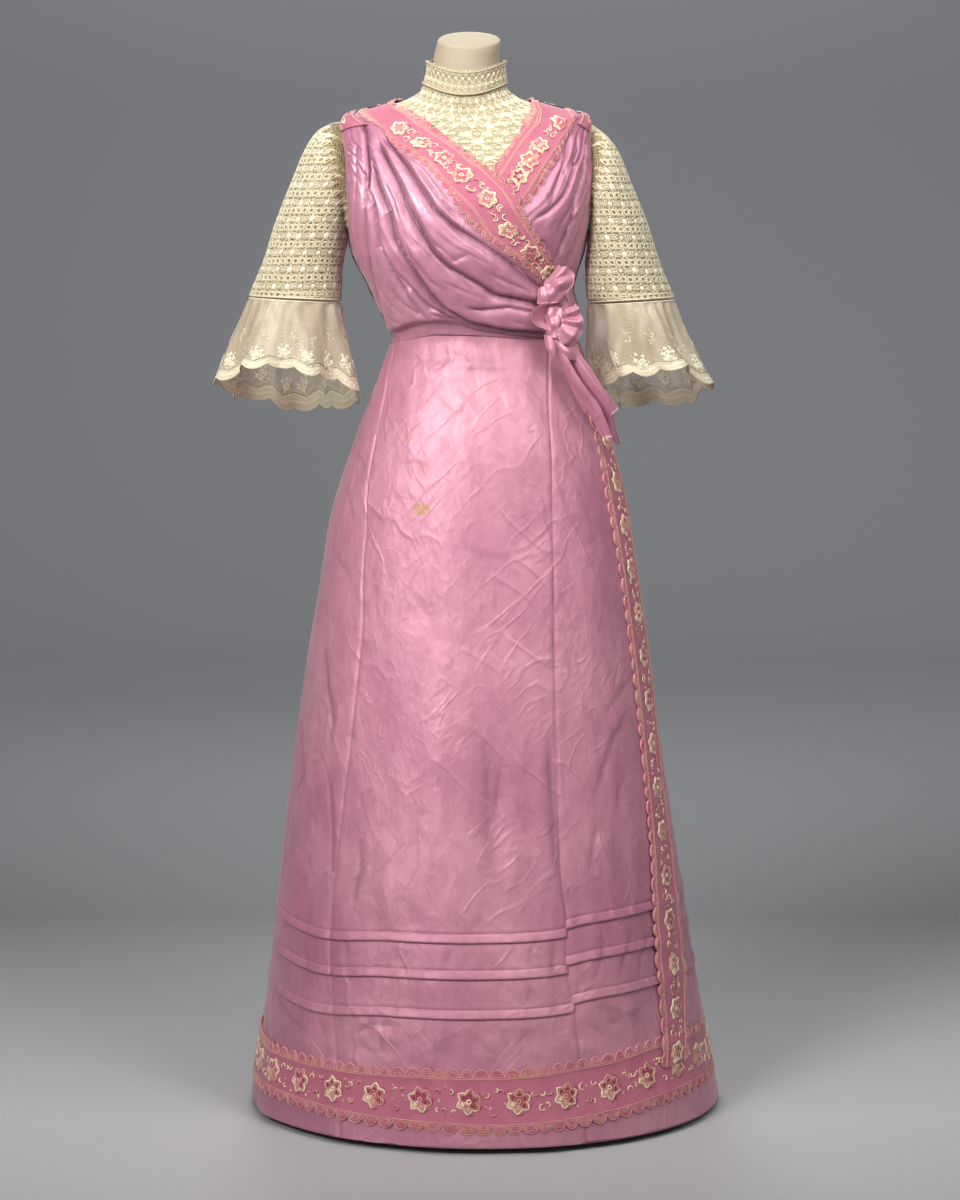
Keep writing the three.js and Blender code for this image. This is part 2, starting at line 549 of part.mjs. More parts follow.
// how far the right front lies out of the body surface
const rightOut = (at, v) => {
  const edgeAt = bandROutAt(v);              // folds die out into the band
  return CROSS_OUT * smooth(-38, -8, at) + foldField(DRAPE, at, v) * smooth(edgeAt + 1, edgeAt - 10, at) * smooth(1018, 1034, v) * smooth(1296, 1274, v);
};
const FR_N = 11;
const frontRight = coons(
  [[-89.8, blouse(-90)], [-89.8, 1146.4], ...armR.slice(1, -1).map(([a, v]) => [a + 0.8, v]), [-90.2, 1302.5]],
  outerR, edge(-89.8, outerR[0][0], 15, blouse), [[-90.2, 1302.5], outerR[outerR.length - 1]], FR_N, shares(outerR));
const frontRightAt = (i, j) => (i < FR_N ? frontRight(i, j) : bandPoint(rowsR[j], i - FR_N + 1));
wall("bodice_front_right", "silk", FR_N + STEPS, rowsR.length, false, (i, j, outer) => {
  const [at, v] = frontRightAt(i, j);
  return S(at, v, rightOut(at, v) + (outer ? SILK : 0));
});
wall("trim_neck_right", "trim", STEPS + 1, bandsR.length, false, (i, j, outer) => {
  const [at, v] = frontRightAt(FR_N - 1 + i, j + LOW_R);
  return S(at, v, rightOut(at, v) + SILK + 0.4 + (outer ? TRIM : 0));
});
const FL_N = 8;
const frontLeft = coons(
  outerL, [[89.8, blouse(90)], [89.8, 1146.4], ...armL.slice(1, -1).map(([a, v]) => [a - 0.8, v]), [90.2, 1302.5]],
  edge(outerL[0][0], 89.8, 9, blouse), [outerL[outerL.length - 1], [90.2, 1302.5]], FL_N, shares(outerL));
const frontLeftAt = (i, j) => (i >= STEPS ? frontLeft(i - STEPS, j) : bandPoint(rowsL[j], STEPS - i));
wall("bodice_front_left", "silk", FL_N + STEPS, rowsL.length, false, (i, j, outer) => {
  const [at, v] = frontLeftAt(i, j);
  return S(at, v, outer ? SILK : 0);
});
wall("trim_neck_left", "trim", STEPS + 1, bandsL.length, false, (i, j, outer) => {
  const [at, v] = frontLeftAt(i, j + LOW_L);
  return S(at, v, SILK + 0.4 + (outer ? TRIM : 0));
});
const BK_N = [9, [0, 0.07, 0.14, 0.23, 0.35, 0.48, 0.6, 0.71, 0.8, 0.86, 0.91, 0.96, 1]];
const backPanel = (name, side, armB) => {
  const sideLine = [[90.6, blouse(90)], [90.6, 1146.4], ...armB.slice(1, -1).map(([a, v]) => [Math.abs(a) - 0.4, v]), [91.2, 1302.5]].map(([a, v]) => [side * (a + 0.6), v]);
  const midLine = [[side * 179.85, blouse(180)], [side * 179.85, 1306]];
  const neckLine = [[91.8, 1302.5], [92.2, 1324], [112, 1323], [135, 1317], [158, 1309], [179.85, 1306]].map(([a, v]) => [side * a, v]);
  const low = edge(side * 91.2, side * 179.85, 9, blouse);
  const f = side > 0 ? coons(sideLine, midLine, low, neckLine, ...BK_N)
    : coons(midLine, sideLine, [...low].reverse(), [...neckLine].reverse(), ...BK_N);
  wall(name, "silk", BK_N[0], BK_N[1].length, false, (i, j, outer) => { const [at, v] = f(i, j); return S(at, v, outer ? SILK : 0); });
};
backPanel("bodice_back_left", 1, armLB);
backPanel("bodice_back_right", -1, armRB);

// ---------------------------------------------------------------- lace yoke, collar
const V_FRONT = [[-89.6, 1312], [-66, 1309], [-44, 1305], [-25, 1298], [-12, 1284], [-3, 1262], [5, 1238], [8, 1228], [13, 1240], [18, 1262], [23, 1280], [32, 1297], [55, 1306], [70, 1309], [89.6, 1312]];
const V_BACK = [[90.4, 1312], [112, 1311], [135, 1303], [158, 1294], [180, 1289], [202, 1294], [225, 1303], [248, 1311], [269.6, 1312]];
const yoke = (name, low, ni, nj) => {
  const a0 = low[0][0], a1 = low[low.length - 1][0], rim = 1345.6;
  const f = coons([low[0], [a0, rim]], [low[low.length - 1], [a1, rim]], low, [[a0, rim], [a1, rim]], ni, nj);
  wall(name, "lace", ni, nj, false, (i, j, outer) => { const [at, v] = f(i, j); return S(at, v, -4.2 + (outer ? LACE : 0)); });
};
yoke("yoke_front", V_FRONT, 17, 6);
yoke("yoke_back", V_BACK, 15, 5);
const COL_N = 24, COL_V = [1346.2, 1360, 1377];
wall("collar", "lace", COL_N, COL_V.length, true, (i, j, outer) => {
  const at = -180 + 360 * i / COL_N;
  return S(at, COL_V[j], -1.6 + (outer ? LACE : 0));
});

// ---------------------------------------------------------------- bands
const backIn = curve(BAND_B, "at_in", "v_in"), backOut = curve(BAND_B, "at_out", "v_out");
const NB_N = 19;
wall("trim_neck_back", "trim", NB_N, 3, false, (i, j, outer) => {
  const at = BAND_B[0].at_out + (BAND_B[BAND_B.length - 1].at_out - BAND_B[0].at_out) * i / (NB_N - 1);
  return S(at, backOut(at) + (backIn(at) - backOut(at)) * j / 2, SILK + 1.8 + (outer ? TRIM : 0));
});
const shoulderBand = (name, rows) => {
  const right = rows[0].at_f < 0;
  wall(name, "trim", 9, 3, false, (i, j, outer) => {
    const r = rows[j], s = (right ? 8 - i : i) / 8, t = clamp(2 * s, 0, 1), u = clamp(2 * s - 1, 0, 1);
    const at = r.at_f + (r.at_m - r.at_f) * t + (r.at_b - r.at_m) * u;
    const v = r.v_f + (r.v_m - r.v_f) * (1 - (1 - t) ** 1.6) + (r.v_b - r.v_m) * u;
    return S(at, v, SILK + 1.8 + (right ? rightOut(at, v) : 0) + (outer ? TRIM : 0));
  });
};
shoulderBand("trim_shoulder_right", BAND_SR);
shoulderBand("trim_shoulder_left", BAND_SL);

// ---------------------------------------------------------------- sleeves, cuffs
const RING = 16, CUFF_RING = 28;
const armRing = (side, k, inset) => {        // point k of the sleeve's ring in the armhole
  const front = along(arm(ARMHOLE, side, -1), RING / 2 + 1), back = along(arm(ARMHOLE_BACK, side, 1), RING / 2 + 1);
  const p = k <= RING / 2 ? front[k] : back[RING - k];
  const mid = [side * 90, 1224], s = 0.955 - inset / 76;
  return S(mid[0] + (p[0] - mid[0]) * (s - 0.04), mid[1] + (p[1] - mid[1]) * s, 0);
};
// point k of n on a section: 0 at the inner end of the chord, first round the front
const section = (r, k, n, off) => {
  const hx = (r.ox - r.ix) / 2, hz = (r.oz - r.iz) / 2;
  const t = 2 * Math.PI * k / n, len = Math.hypot(hx, hz);
  const ux = hx / len, uz = hz / len, a = len + off, b = r.hy + off;
  const c = -Math.cos(t) * a, d = -Math.sin(t) * b;
  return new THREE.Vector3((r.ox + r.ix) / 2 + ux * c, r.y + d, (r.oz + r.iz) / 2 + uz * c);
};
const sleeve = (name, rows, side) => wall(name, "lace", RING, rows.length + 1, true, (i, j, outer) => {
  const k = side > 0 ? i : (RING - i) % RING;
  const jj = rows.length - j;              // last row is the armhole
  if (jj === 0) return armRing(side, k, outer ? 0 : LACE);
  return section(rows[jj - 1], k, RING, outer ? 0 : -LACE);
});
sleeve("sleeve_right", SLEEVE_R, -1);
sleeve("sleeve_left", SLEEVE_L, 1);
const cuff = (name, rows, side) => wall(name, "net", CUFF_RING, rows.length, true, (i, j, outer) => {
  const k = side > 0 ? i : (CUFF_RING - i) % CUFF_RING, r = rows[rows.length - 1 - j];
  const t = 2 * Math.PI * k / CUFF_RING;
  const p = section(r, k, CUFF_RING, (outer ? 0 : -LACE) + r.wave * 0.5 * Math.cos(FLUTES * t));
  p.z += -r.drop * (0.5 - 0.5 * Math.sin(t)) + r.drop * 0.25;
  return p;
});
cuff("cuff_right", CUFF_R, -1);
cuff("cuff_left", CUFF_L, 1);

// ---------------------------------------------------------------- bow and sash ends
const ribbon = (name, rows, step) => {
  const n = (rows.length - 1) * step + 1, key = rows.map((r, i) => ({ ...r, s: i }));
  const col = Object.fromEntries(["x", "y", "z", "wx", "wy", "wz"].map((c) => [c, curve(key, "s", c)]));
  const mid = (q) => new THREE.Vector3(col.x(q), col.y(q), col.z(q));
  const half = (q) => new THREE.Vector3(col.wx(q), col.wy(q), col.wz(q));
  wall(name, "silk", 3, n, false, (i, j, outer) => {
    const q = j / step, e = 0.02;
    const tan = mid(q + e).sub(mid(q - e)), w = half(q), nrm = w.clone().cross(tan).normalize();
    return mid(q).addScaledVector(w, -1 + i).addScaledVector(nrm, outer ? 0.75 : -0.75);
  });
};
for (const [name, rows] of Object.entries(BOW)) ribbon(name, rows, 2);
{
  const g = new THREE.SphereGeometry(1, 12, 8), p = g.getAttribute("position"), pos = [], map = new Map(), idx = [];
  const ids = [];
  for (let i = 0; i < p.count; i++) {
    const v = new THREE.Vector3(KNOT.x + p.getX(i) * KNOT.rx, KNOT.y + p.getZ(i) * KNOT.ry, KNOT.z + p.getY(i) * KNOT.rz);
    const k = v.toArray().map((c) => c.toFixed(4)).join();
    if (!map.has(k)) { map.set(k, pos.length); pos.push(v); }
    ids.push(map.get(k));
  }
  const gi = g.getIndex();
  for (let i = 0; i < gi.count; i += 3) {
    const [a, b, c] = [ids[gi.getX(i)], ids[gi.getX(i + 1)], ids[gi.getX(i + 2)]];
    if (a !== b && b !== c && a !== c) idx.push(a, c, b);
  }
  add("bow_knot", "silk", pos, idx);
}

// ---------------------------------------------------------------- dress form
const FORM_N = 26;
const formRing = (r) => Array.from({ length: FORM_N }, (_, i) => {
  const t = -Math.PI + 2 * Math.PI * i / FORM_N, s = Math.sin(t), c = Math.cos(t);
  return new THREE.Vector3(r.cx + r.ax * s, r.cy - (c > 0 ? r.bf : r.bb) * c, r.z - r.dip * c);
});
const formBody = (v, gap) => Array.from({ length: FORM_N }, (_, i) => S(-180 + 360 * i / FORM_N, v, -gap));
const FORM_V = table("v gap", [
  [1017, 8], [1060, 11], [1110, 10], [1150, 9], [1190, 8.5], [1230, 8.5], [1268, 9], [1292, 9], [1306, 9], [1318, 8.5], [1331, 8], [1342, 8], [1354, 7.5],
]);
solidRings("form_torso", "form", [
  ...FORM_HIP.map(formRing), ...FORM_V.map((r) => formBody(r.v, r.gap)), ...FORM_NECK.map(formRing),
], 1.2);
const turned = (name, kind, profile, n) => solidRings(name, kind, profile.map(([r, z]) =>
  Array.from({ length: n }, (_, i) => { const t = 2 * Math.PI * i / n; return new THREE.Vector3(r * Math.cos(t), r * Math.sin(t), z); })), 0);
turned("form_pole", "iron", [[POLE_R, BASE_H + 0.3], [POLE_R, 699.6]], 16);
turned("form_base", "iron", [[BASE_R, 0], [BASE_R, BASE_H - 10], [BASE_R - 8, BASE_H - 3], [POLE_R + 14, BASE_H]], 32);

export default group;
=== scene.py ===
# A silk satin day dress with lace sleeves, on its limbless dress form. The sizes
# below are millimetres and degrees round the body, as in the solid model; each
# mesh is made in metres.
import bpy, json, math
import numpy as np
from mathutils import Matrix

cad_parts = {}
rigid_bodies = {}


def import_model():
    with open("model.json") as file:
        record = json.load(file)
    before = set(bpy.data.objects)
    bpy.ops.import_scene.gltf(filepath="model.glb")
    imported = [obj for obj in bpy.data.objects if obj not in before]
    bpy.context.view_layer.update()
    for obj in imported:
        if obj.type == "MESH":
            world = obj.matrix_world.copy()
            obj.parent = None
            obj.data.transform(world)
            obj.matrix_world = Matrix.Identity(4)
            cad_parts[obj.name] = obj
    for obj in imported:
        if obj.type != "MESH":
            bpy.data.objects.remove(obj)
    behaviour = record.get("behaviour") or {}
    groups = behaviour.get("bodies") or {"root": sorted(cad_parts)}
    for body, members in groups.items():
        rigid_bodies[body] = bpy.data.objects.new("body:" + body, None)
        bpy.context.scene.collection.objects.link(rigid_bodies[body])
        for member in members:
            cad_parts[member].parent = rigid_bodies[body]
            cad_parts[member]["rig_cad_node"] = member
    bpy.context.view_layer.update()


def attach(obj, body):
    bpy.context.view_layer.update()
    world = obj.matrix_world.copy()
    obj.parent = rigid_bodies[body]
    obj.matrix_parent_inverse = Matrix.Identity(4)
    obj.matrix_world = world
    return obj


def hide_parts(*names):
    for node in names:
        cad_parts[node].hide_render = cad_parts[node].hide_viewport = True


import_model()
RAD = math.pi / 180


# ------------------------------------------------------------------ helpers
def table(cols, rows):
    names = cols.split()
    return {n: np.array([r[i] for r in rows], float) for i, n in enumerate(names)}


def curve(x, y):
    """monotone curve through the points, for arrays"""
    x, y = np.asarray(x, float), np.asarray(y, float)
    h = np.diff(x)
    d = np.diff(y) / h
    m = np.zeros_like(y)
    m[0], m[-1] = d[0], d[-1]
    for k in range(1, len(x) - 1):
        if d[k - 1] * d[k] > 0:
            w1, w2 = 2 * h[k] + h[k - 1], h[k] + 2 * h[k - 1]
            m[k] = (w1 + w2) / (w1 / d[k - 1] + w2 / d[k])

    def f(q):
        q = np.clip(np.asarray(q, float), x[0], x[-1])
        k = np.clip(np.searchsorted(x, q, side="right") - 1, 0, len(x) - 2)
        t = (q - x[k]) / h[k]
        return ((2 * t**3 - 3 * t**2 + 1) * y[k] + (t**3 - 2 * t**2 + t) * h[k] * m[k]
                + (-2 * t**3 + 3 * t**2) * y[k + 1] + (t**3 - t**2) * h[k] * m[k + 1])
    return f


def sm(a, b, x):
    t = np.clip((np.asarray(x, float) - a) / (b - a), 0, 1)
    return t * t * (3 - 2 * t)


def noise(u, v, cell, seed):
    """smooth noise between -1 and 1; cell is a pair of sizes"""
    g = np.random.RandomState(seed).rand(97, 97) * 2 - 1
    x, y = np.asarray(u, float) / cell[0] + 31.7, np.asarray(v, float) / cell[1] + 17.3
    i, j = np.floor(x).astype(int), np.floor(y).astype(int)
    a, b = x - i, y - j
    a, b = a * a * (3 - 2 * a), b * b * (3 - 2 * b)
    i0, i1, j0, j1 = i % 97, (i + 1) % 97, j % 97, (j + 1) % 97
    return (g[i0, j0] * (1 - a) + g[i1, j0] * a) * (1 - b) + (g[i0, j1] * (1 - a) + g[i1, j1] * a) * b


# ------------------------------------------------------------------ body surface
BODY = table("v zf zb cx cy ax bf bb n", [
    (8, 8, 6, 6, 0, 310, 295, 345, 2.0),
    (94, 94, 94, 4, 0, 294, 277, 325, 2.0),
    (203, 203, 203, 2, 0, 277, 257, 302, 2.0),
    (338, 338, 338, -1, 0, 260, 233, 276, 2.0),
    (499, 499, 499, -3, 0, 238, 205, 246, 2.0),
    (658, 658, 658, -2, 0, 215, 178, 218, 2.0),
    (791, 791, 791, -1, 0, 193, 155, 193, 2.0),
    (873, 873, 873, 2, 0, 170, 139, 171, 2.0),
    (936, 936, 936, 3, 0, 147, 122, 143, 2.0),
    (977, 977, 977, 5, 0, 132, 108, 114, 2.05),
    (1017, 1017, 1017, 6, 0, 122, 98, 90, 2.1),
    (1051, 1051, 1051, 0, 0, 128, 110, 90, 2.1),
    (1082, 1082, 1082, -11, 0, 132, 121, 94, 2.1),
    (1134, 1134, 1134, -16, 0, 151, 134, 103, 2.15),
    (1181, 1180, 1181, -15, 0, 159, 136, 108, 2.2),
    (1221, 1215, 1220, -15, 0, 160, 127, 111, 2.25),
    (1261, 1247, 1256, -16, 0, 160, 109, 107, 2.3),
    (1290, 1269, 1282, -18, 0, 161, 93, 98, 2.3),
    (1303, 1283, 1298, -18, -2, 156, 82, 88, 2.2),
    (1312, 1293, 1311, -18, -4, 128, 72, 77, 2.1),
    (1321, 1302, 1322, -19, -5, 96, 64, 67, 2.0),
    (1331, 1312, 1334, -20, -6, 70, 58, 59, 2.0),
    (1342, 1325, 1347, -20, -7, 57, 54, 54, 2.0),
    (1362, 1346, 1369, -18, -8, 51.5, 50, 50, 2.0),
    (1377, 1362, 1386, -18, -8, 50, 49, 49, 2.0),
])
body_col = {c: curve(BODY["v"], BODY[c]) for c in ("zf", "zb", "cx", "cy", "ax", "bf", "bb", "n")}
SKIRT_FOLDS = [  # degrees, half width, height, v_lo, v_hi
    (-66, 12, 4, 60, 760), (-36, 11, 2.5, 120, 560), (-10, 12, 2.5, 160, 700), (14, 11, 3, 180, 620),
    (100, 14, 5, 60, 800), (128, 14, 9, 40, 940), (154, 14, 12, 40, 980), (180, 14, 10, 40, 980),
    (206, 14, 12, 40, 980), (232, 14, 9, 40, 940), (260, 14, 5, 60, 800)]


def body_point(at, v):
    at, v = np.broadcast_arrays(np.asarray(at, float), np.asarray(v, float))
    c_ = {k: f(v) for k, f in body_col.items()}
    s, c = np.sin(at * RAD), np.cos(at * RAD)
    e = 2 / c_["n"]
    sx, sc = np.sign(s) * np.abs(s) ** e, np.sign(c) * np.abs(c) ** e
    b, z = np.where(c > 0, c_["bf"], c_["bb"]), np.where(c > 0, c_["zf"], c_["zb"])
    return np.stack([c_["cx"] + c_["ax"] * sx, c_["cy"] - b * sc, v * s * s + z * c * c], -1)


def skirt_drape(at, v):
    o = 0
    for a, wide, out, lo, hi in SKIRT_FOLDS:
        d = np.abs((at - a + 180) % 360 - 180) / wide
        o = o + np.where(d < 1, out * (0.5 + 0.5 * np.cos(math.pi * np.minimum(d, 1))), 0) * (1 - sm(lo, hi, v))
    return o


def S(at, v, off=0.0):
    """the body surface moved out by off"""
    at, v, off = np.broadcast_arrays(np.asarray(at, float), np.asarray(v, float), np.asarray(off, float))
    v = np.clip(v, 8, 1377)
    a = body_point(at + 0.05, v) - body_point(at - 0.05, v)
    b = body_point(at, np.minimum(v + 0.5, 1377)) - body_point(at, np.maximum(v - 0.5, 8))
    n = np.cross(a, b)
    n /= np.linalg.norm(n, axis=-1, keepdims=True)
    return body_point(at, v) + n * (off + np.where(v < 1000, skirt_drape(at, v), 0))[..., None]


def mm_per_deg(v):
    return body_col["ax"](v) * RAD * 0.93


# folds: each is a list of (degrees, height) with half width, depth and side lean
def fold_field(at, v, folds):
    """the deepest of the folds at each point: depth times a soft valley with a sharp floor"""
    at, v = np.broadcast_arrays(np.asarray(at, float), np.asarray(v, float))
    k = mm_per_deg(v)
    total = np.zeros(at.shape)
    for depth, w_lo, w_hi, taper, line in folds:
        P = np.array(line, float)
        seg = np.hypot(np.diff(P[:, 0]) * 2.3, np.diff(P[:, 1]))
        cum = np.concatenate([[0], np.cumsum(seg)])
        best = np.full(at.shape, 1e9)
        side = np.zeros(at.shape)
        pos = np.zeros(at.shape)
        for i in range(len(P) - 1):
            dx, dy = (P[i + 1, 0] - P[i, 0]) * k, P[i + 1, 1] - P[i, 1]
            px, py = (at - P[i, 0]) * k, v - P[i, 1]
            s = np.clip((px * dx + py * dy) / (dx * dx + dy * dy), 0, 1)
            ex, ey = px - s * dx, py - s * dy
            d = np.hypot(ex, ey)
            m = d < best
            best = np.where(m, d, best)
            side = np.where(m, dx * ey - dy * ex, side)
            pos = np.where(m, (cum[i] + s * seg[i]) / cum[-1], pos)
        w = np.where(side > 0, w_hi, w_lo)
        end = sm(0, taper, pos) * sm(0, taper, 1 - pos) if taper > 0 else 1
        x = np.clip(best / w, 0, 1)
        val = depth * end * (0.55 * (1 - np.sqrt(np.maximum(1 - (1 - x) ** 2, 0))) + 0.45 * (1 - x) ** 2)
        total = np.where(np.abs(val) > np.abs(total), val, total)
    return total


def ridge_field(at, v, ridges):
    """soft round ridges (or hollows, out < 0) added up"""
    at, v = np.broadcast_arrays(np.asarray(at, float), np.asarray(v, float))
    k = mm_per_deg(v)
    total = np.zeros(at.shape)
    for out, w, line in ridges:
        P = np.array(line, float)
        seg = np.hypot(np.diff(P[:, 0]) * 2.3, np.diff(P[:, 1]))
        cum = np.concatenate([[0], np.cumsum(seg)])
        best = np.full(at.shape, 1e9)
        pos = np.zeros(at.shape)
        for i in range(len(P) - 1):
            dx, dy = (P[i + 1, 0] - P[i, 0]) * k, P[i + 1, 1] - P[i, 1]
            px, py = (at - P[i, 0]) * k, v - P[i, 1]
            s = np.clip((px * dx + py * dy) / (dx * dx + dy * dy), 0, 1)
            d = np.hypot(px - s * dx, py - s * dy)
            m = d < best
            best = np.where(m, d, best)
            pos = np.where(m, (cum[i] + s * seg[i]) / cum[-1], pos)
        x = np.clip(best / w, 0, 1)
        total = total + out * (1 - x * x) ** 2 * sm(0, 0.3, pos) * sm(0, 0.3, 1 - pos)
    return total


# ------------------------------------------------------------------ meshes
def mesh_object(name, co, faces, mats, face_mat=None, uv=None, smooth=True, shade_depth=None):
    me = bpy.data.meshes.new(name)
    me.from_pydata((np.asarray(co) * 0.001).tolist(), [], faces.tolist() if hasattr(faces, "tolist") else faces)
    for m in mats:
        me.materials.append(m)
    if face_mat is not None:
        me.polygons.foreach_set("material_index", np.asarray(face_mat, np.int32))
    if uv is not None:
        layer = me.uv_layers.new(name="UVMap")
        idx = np.zeros(len(me.loops), np.int32)
        me.loops.foreach_get("vertex_index", idx)
        layer.data.foreach_set("uv", (np.asarray(uv)[idx] * 0.001).astype(np.float32).ravel())
    me.polygons.foreach_set("use_smooth", np.full(len(me.polygons), smooth))
    if shade_depth is not None:                      # painted shade: how deep each point lies in a fold, seam groove or tuck shadow, darkening the silk there
        a = me.attributes.new("painted_crease_shade", "FLOAT", "POINT")
        a.data.foreach_set("value", np.clip(np.asarray(shade_depth, np.float32).ravel(), 0, 1))
    me.update()
    o = bpy.data.objects.new(name, me)
    bpy.context.scene.collection.objects.link(o)
    return o


def grid_faces(nj, ni, ringed=False, base=0):
    j, i = np.meshgrid(np.arange(nj - 1), np.arange(ni if ringed else ni - 1), indexing="ij")
    a, b = j * ni + i, j * ni + (i + 1) % ni
    return (np.stack([a, b, b + ni, a + ni], -1).reshape(-1, 4) + base)


def grid_object(name, P, mats, ringed=False, uv=None, face_mat=None, shade_depth=None):
    nj, ni = P.shape[:2]
    return mesh_object(name, P.reshape(-1, 3), grid_faces(nj, ni, ringed), mats, face_mat,
                       None if uv is None else uv.reshape(-1, 2), shade_depth=shade_depth)


def surf_area(P, ringed=False):
    """area of a grid in square metres"""
    Q = np.concatenate([P, P[:, :1]], 1) if ringed else P
    a, b = Q[1:, 1:] - Q[:-1, :-1], Q[1:, :-1] - Q[:-1, 1:]
    return float(np.linalg.norm(np.cross(a, b), axis=-1).sum() / 2 * 1e-6)


class Heap:
    """collects many small shapes for one joined mesh; each surface is worked out once"""

    def __init__(self):
        self.late, self.fa, self.ma, self.n = [], [], [], 0

    def put(self, surf, x, y, h, faces, mat=0):
        x, y, h = [a.ravel() for a in np.broadcast_arrays(np.asarray(x, float), np.asarray(y, float), np.asarray(h, float))]
        self.late.append((self.n, surf, x, y, h))
        n = self.n
        for f in faces:
            self.fa.append([q + n for q in f])
        self.ma += [mat] * len(faces)
        self.n += len(x)

    def build(self, name, mats, smooth=True):
        co, groups = np.empty((self.n, 3)), {}
        for item in self.late:
            groups.setdefault(id(item[1]), []).append(item)
        for items in groups.values():
            P = items[0][1](*[np.concatenate([i[k] for i in items]) for k in (2, 3, 4)])
            k = 0
            for n0, _, x, _, _ in items:
                co[n0:n0 + len(x)] = P[k:k + len(x)]
                k += len(x)
        return mesh_object(name, co, self.fa, mats, self.ma, None, smooth)


FACES = {}


def faces_of(kind, n, closed=False):
    key = (kind, n, closed)
    if key not in FACES:
        f = []
        if kind == "strip":
            for i in range(n if closed else n - 1):
                a, b = i * 3, ((i + 1) % n) * 3
                f += [(a + q, a + q + 1, b + q + 1, b + q) for q in range(2)]
        elif kind == "dome":
            f += [(i, (i + 1) % n, n + (i + 1) % n, n + i) for i in range(n)]
            f += [(n + i, n + (i + 1) % n, 2 * n) for i in range(n)]
        elif kind == "ring":
            for j in range(2):
                f += [(j * n + i, j * n + (i + 1) % n, (j + 1) * n + (i + 1) % n, (j + 1) * n + i) for i in range(n)]
        FACES[key] = f
    return FACES[key]


def strip_on(heap, surf, xy, width, height, mat, closed=False, lift=0.0, wob=None):
    """a raised thread along xy (local mm) on surf(x, y, h): three points across"""
    xy = np.asarray(xy, float)
    n = len(xy)
    nx = np.roll(xy, -1, 0) - np.roll(xy, 1, 0) if closed else np.gradient(xy, axis=0)
    ln = np.maximum(np.hypot(nx[:, 0], nx[:, 1]), 1e-6)
    nrm = np.stack([-nx[:, 1] / ln, nx[:, 0] / ln], -1)
    h = np.zeros(n) + height
    if wob is not None:
        h = h * wob
    k = np.array([-1.0, 0.0, 1.0])
    hh = np.array([0.0, 1.0, 0.0])
    off = (np.zeros(n) + width)[:, None] * 0.5 * k[None, :]
    heap.put(surf, xy[:, :1] + nrm[:, :1] * off, xy[:, 1:] + nrm[:, 1:] * off, lift + h[:, None] * hh[None, :],
             faces_of("strip", n, closed), mat)


def dome_on(heap, surf, cx, cy, rx, ry, turn, height, mat, n=10, lift=0.0, flat=0.55):
    """a raised satin-stitched leaf or dot"""
    t = np.linspace(0, 2 * math.pi, n, endpoint=False)
    c, s = math.cos(turn), math.sin(turn)
    X, Y, H = [], [], []
    for r, hh in ((1.0, 0.0), (max(flat, 0.72), 0.92)):
        x, y = rx * r * np.cos(t), ry * r * np.sin(t)
        X.append(cx + x * c - y * s)
        Y.append(cy + x * s + y * c)
        H.append(lift + height * hh + 0 * x)
    heap.put(surf, np.concatenate(X + [[cx]]), np.concatenate(Y + [[cy]]), np.concatenate(H + [[lift + height * 1.05]]),
             faces_of("dome", n), mat)


def ring_on(heap, surf, cx, cy, r_out, r_in, n, h, mat, turn=0.0, squash=1.0):
    """an eyelet: a raised ring of thread"""
    t = np.linspace(0, 2 * math.pi, n, endpoint=False) + turn
    r = np.array([r_out, (r_out + r_in) / 2, r_in])[:, None]
    heap.put(surf, cx + r * np.cos(t), cy + r * squash * np.sin(t), np.array([0.0, h, 0.1])[:, None] + 0 * t, faces_of("ring", n), mat)


# ------------------------------------------------------------------ materials
def srgb(h):
    c = [int(h[i:i + 2], 16) / 255 for i in (1, 3, 5)]
    return tuple(x / 12.92 if x <= 0.04045 else ((x + 0.055) / 1.055) ** 2.4 for x in c) + (1.0,)


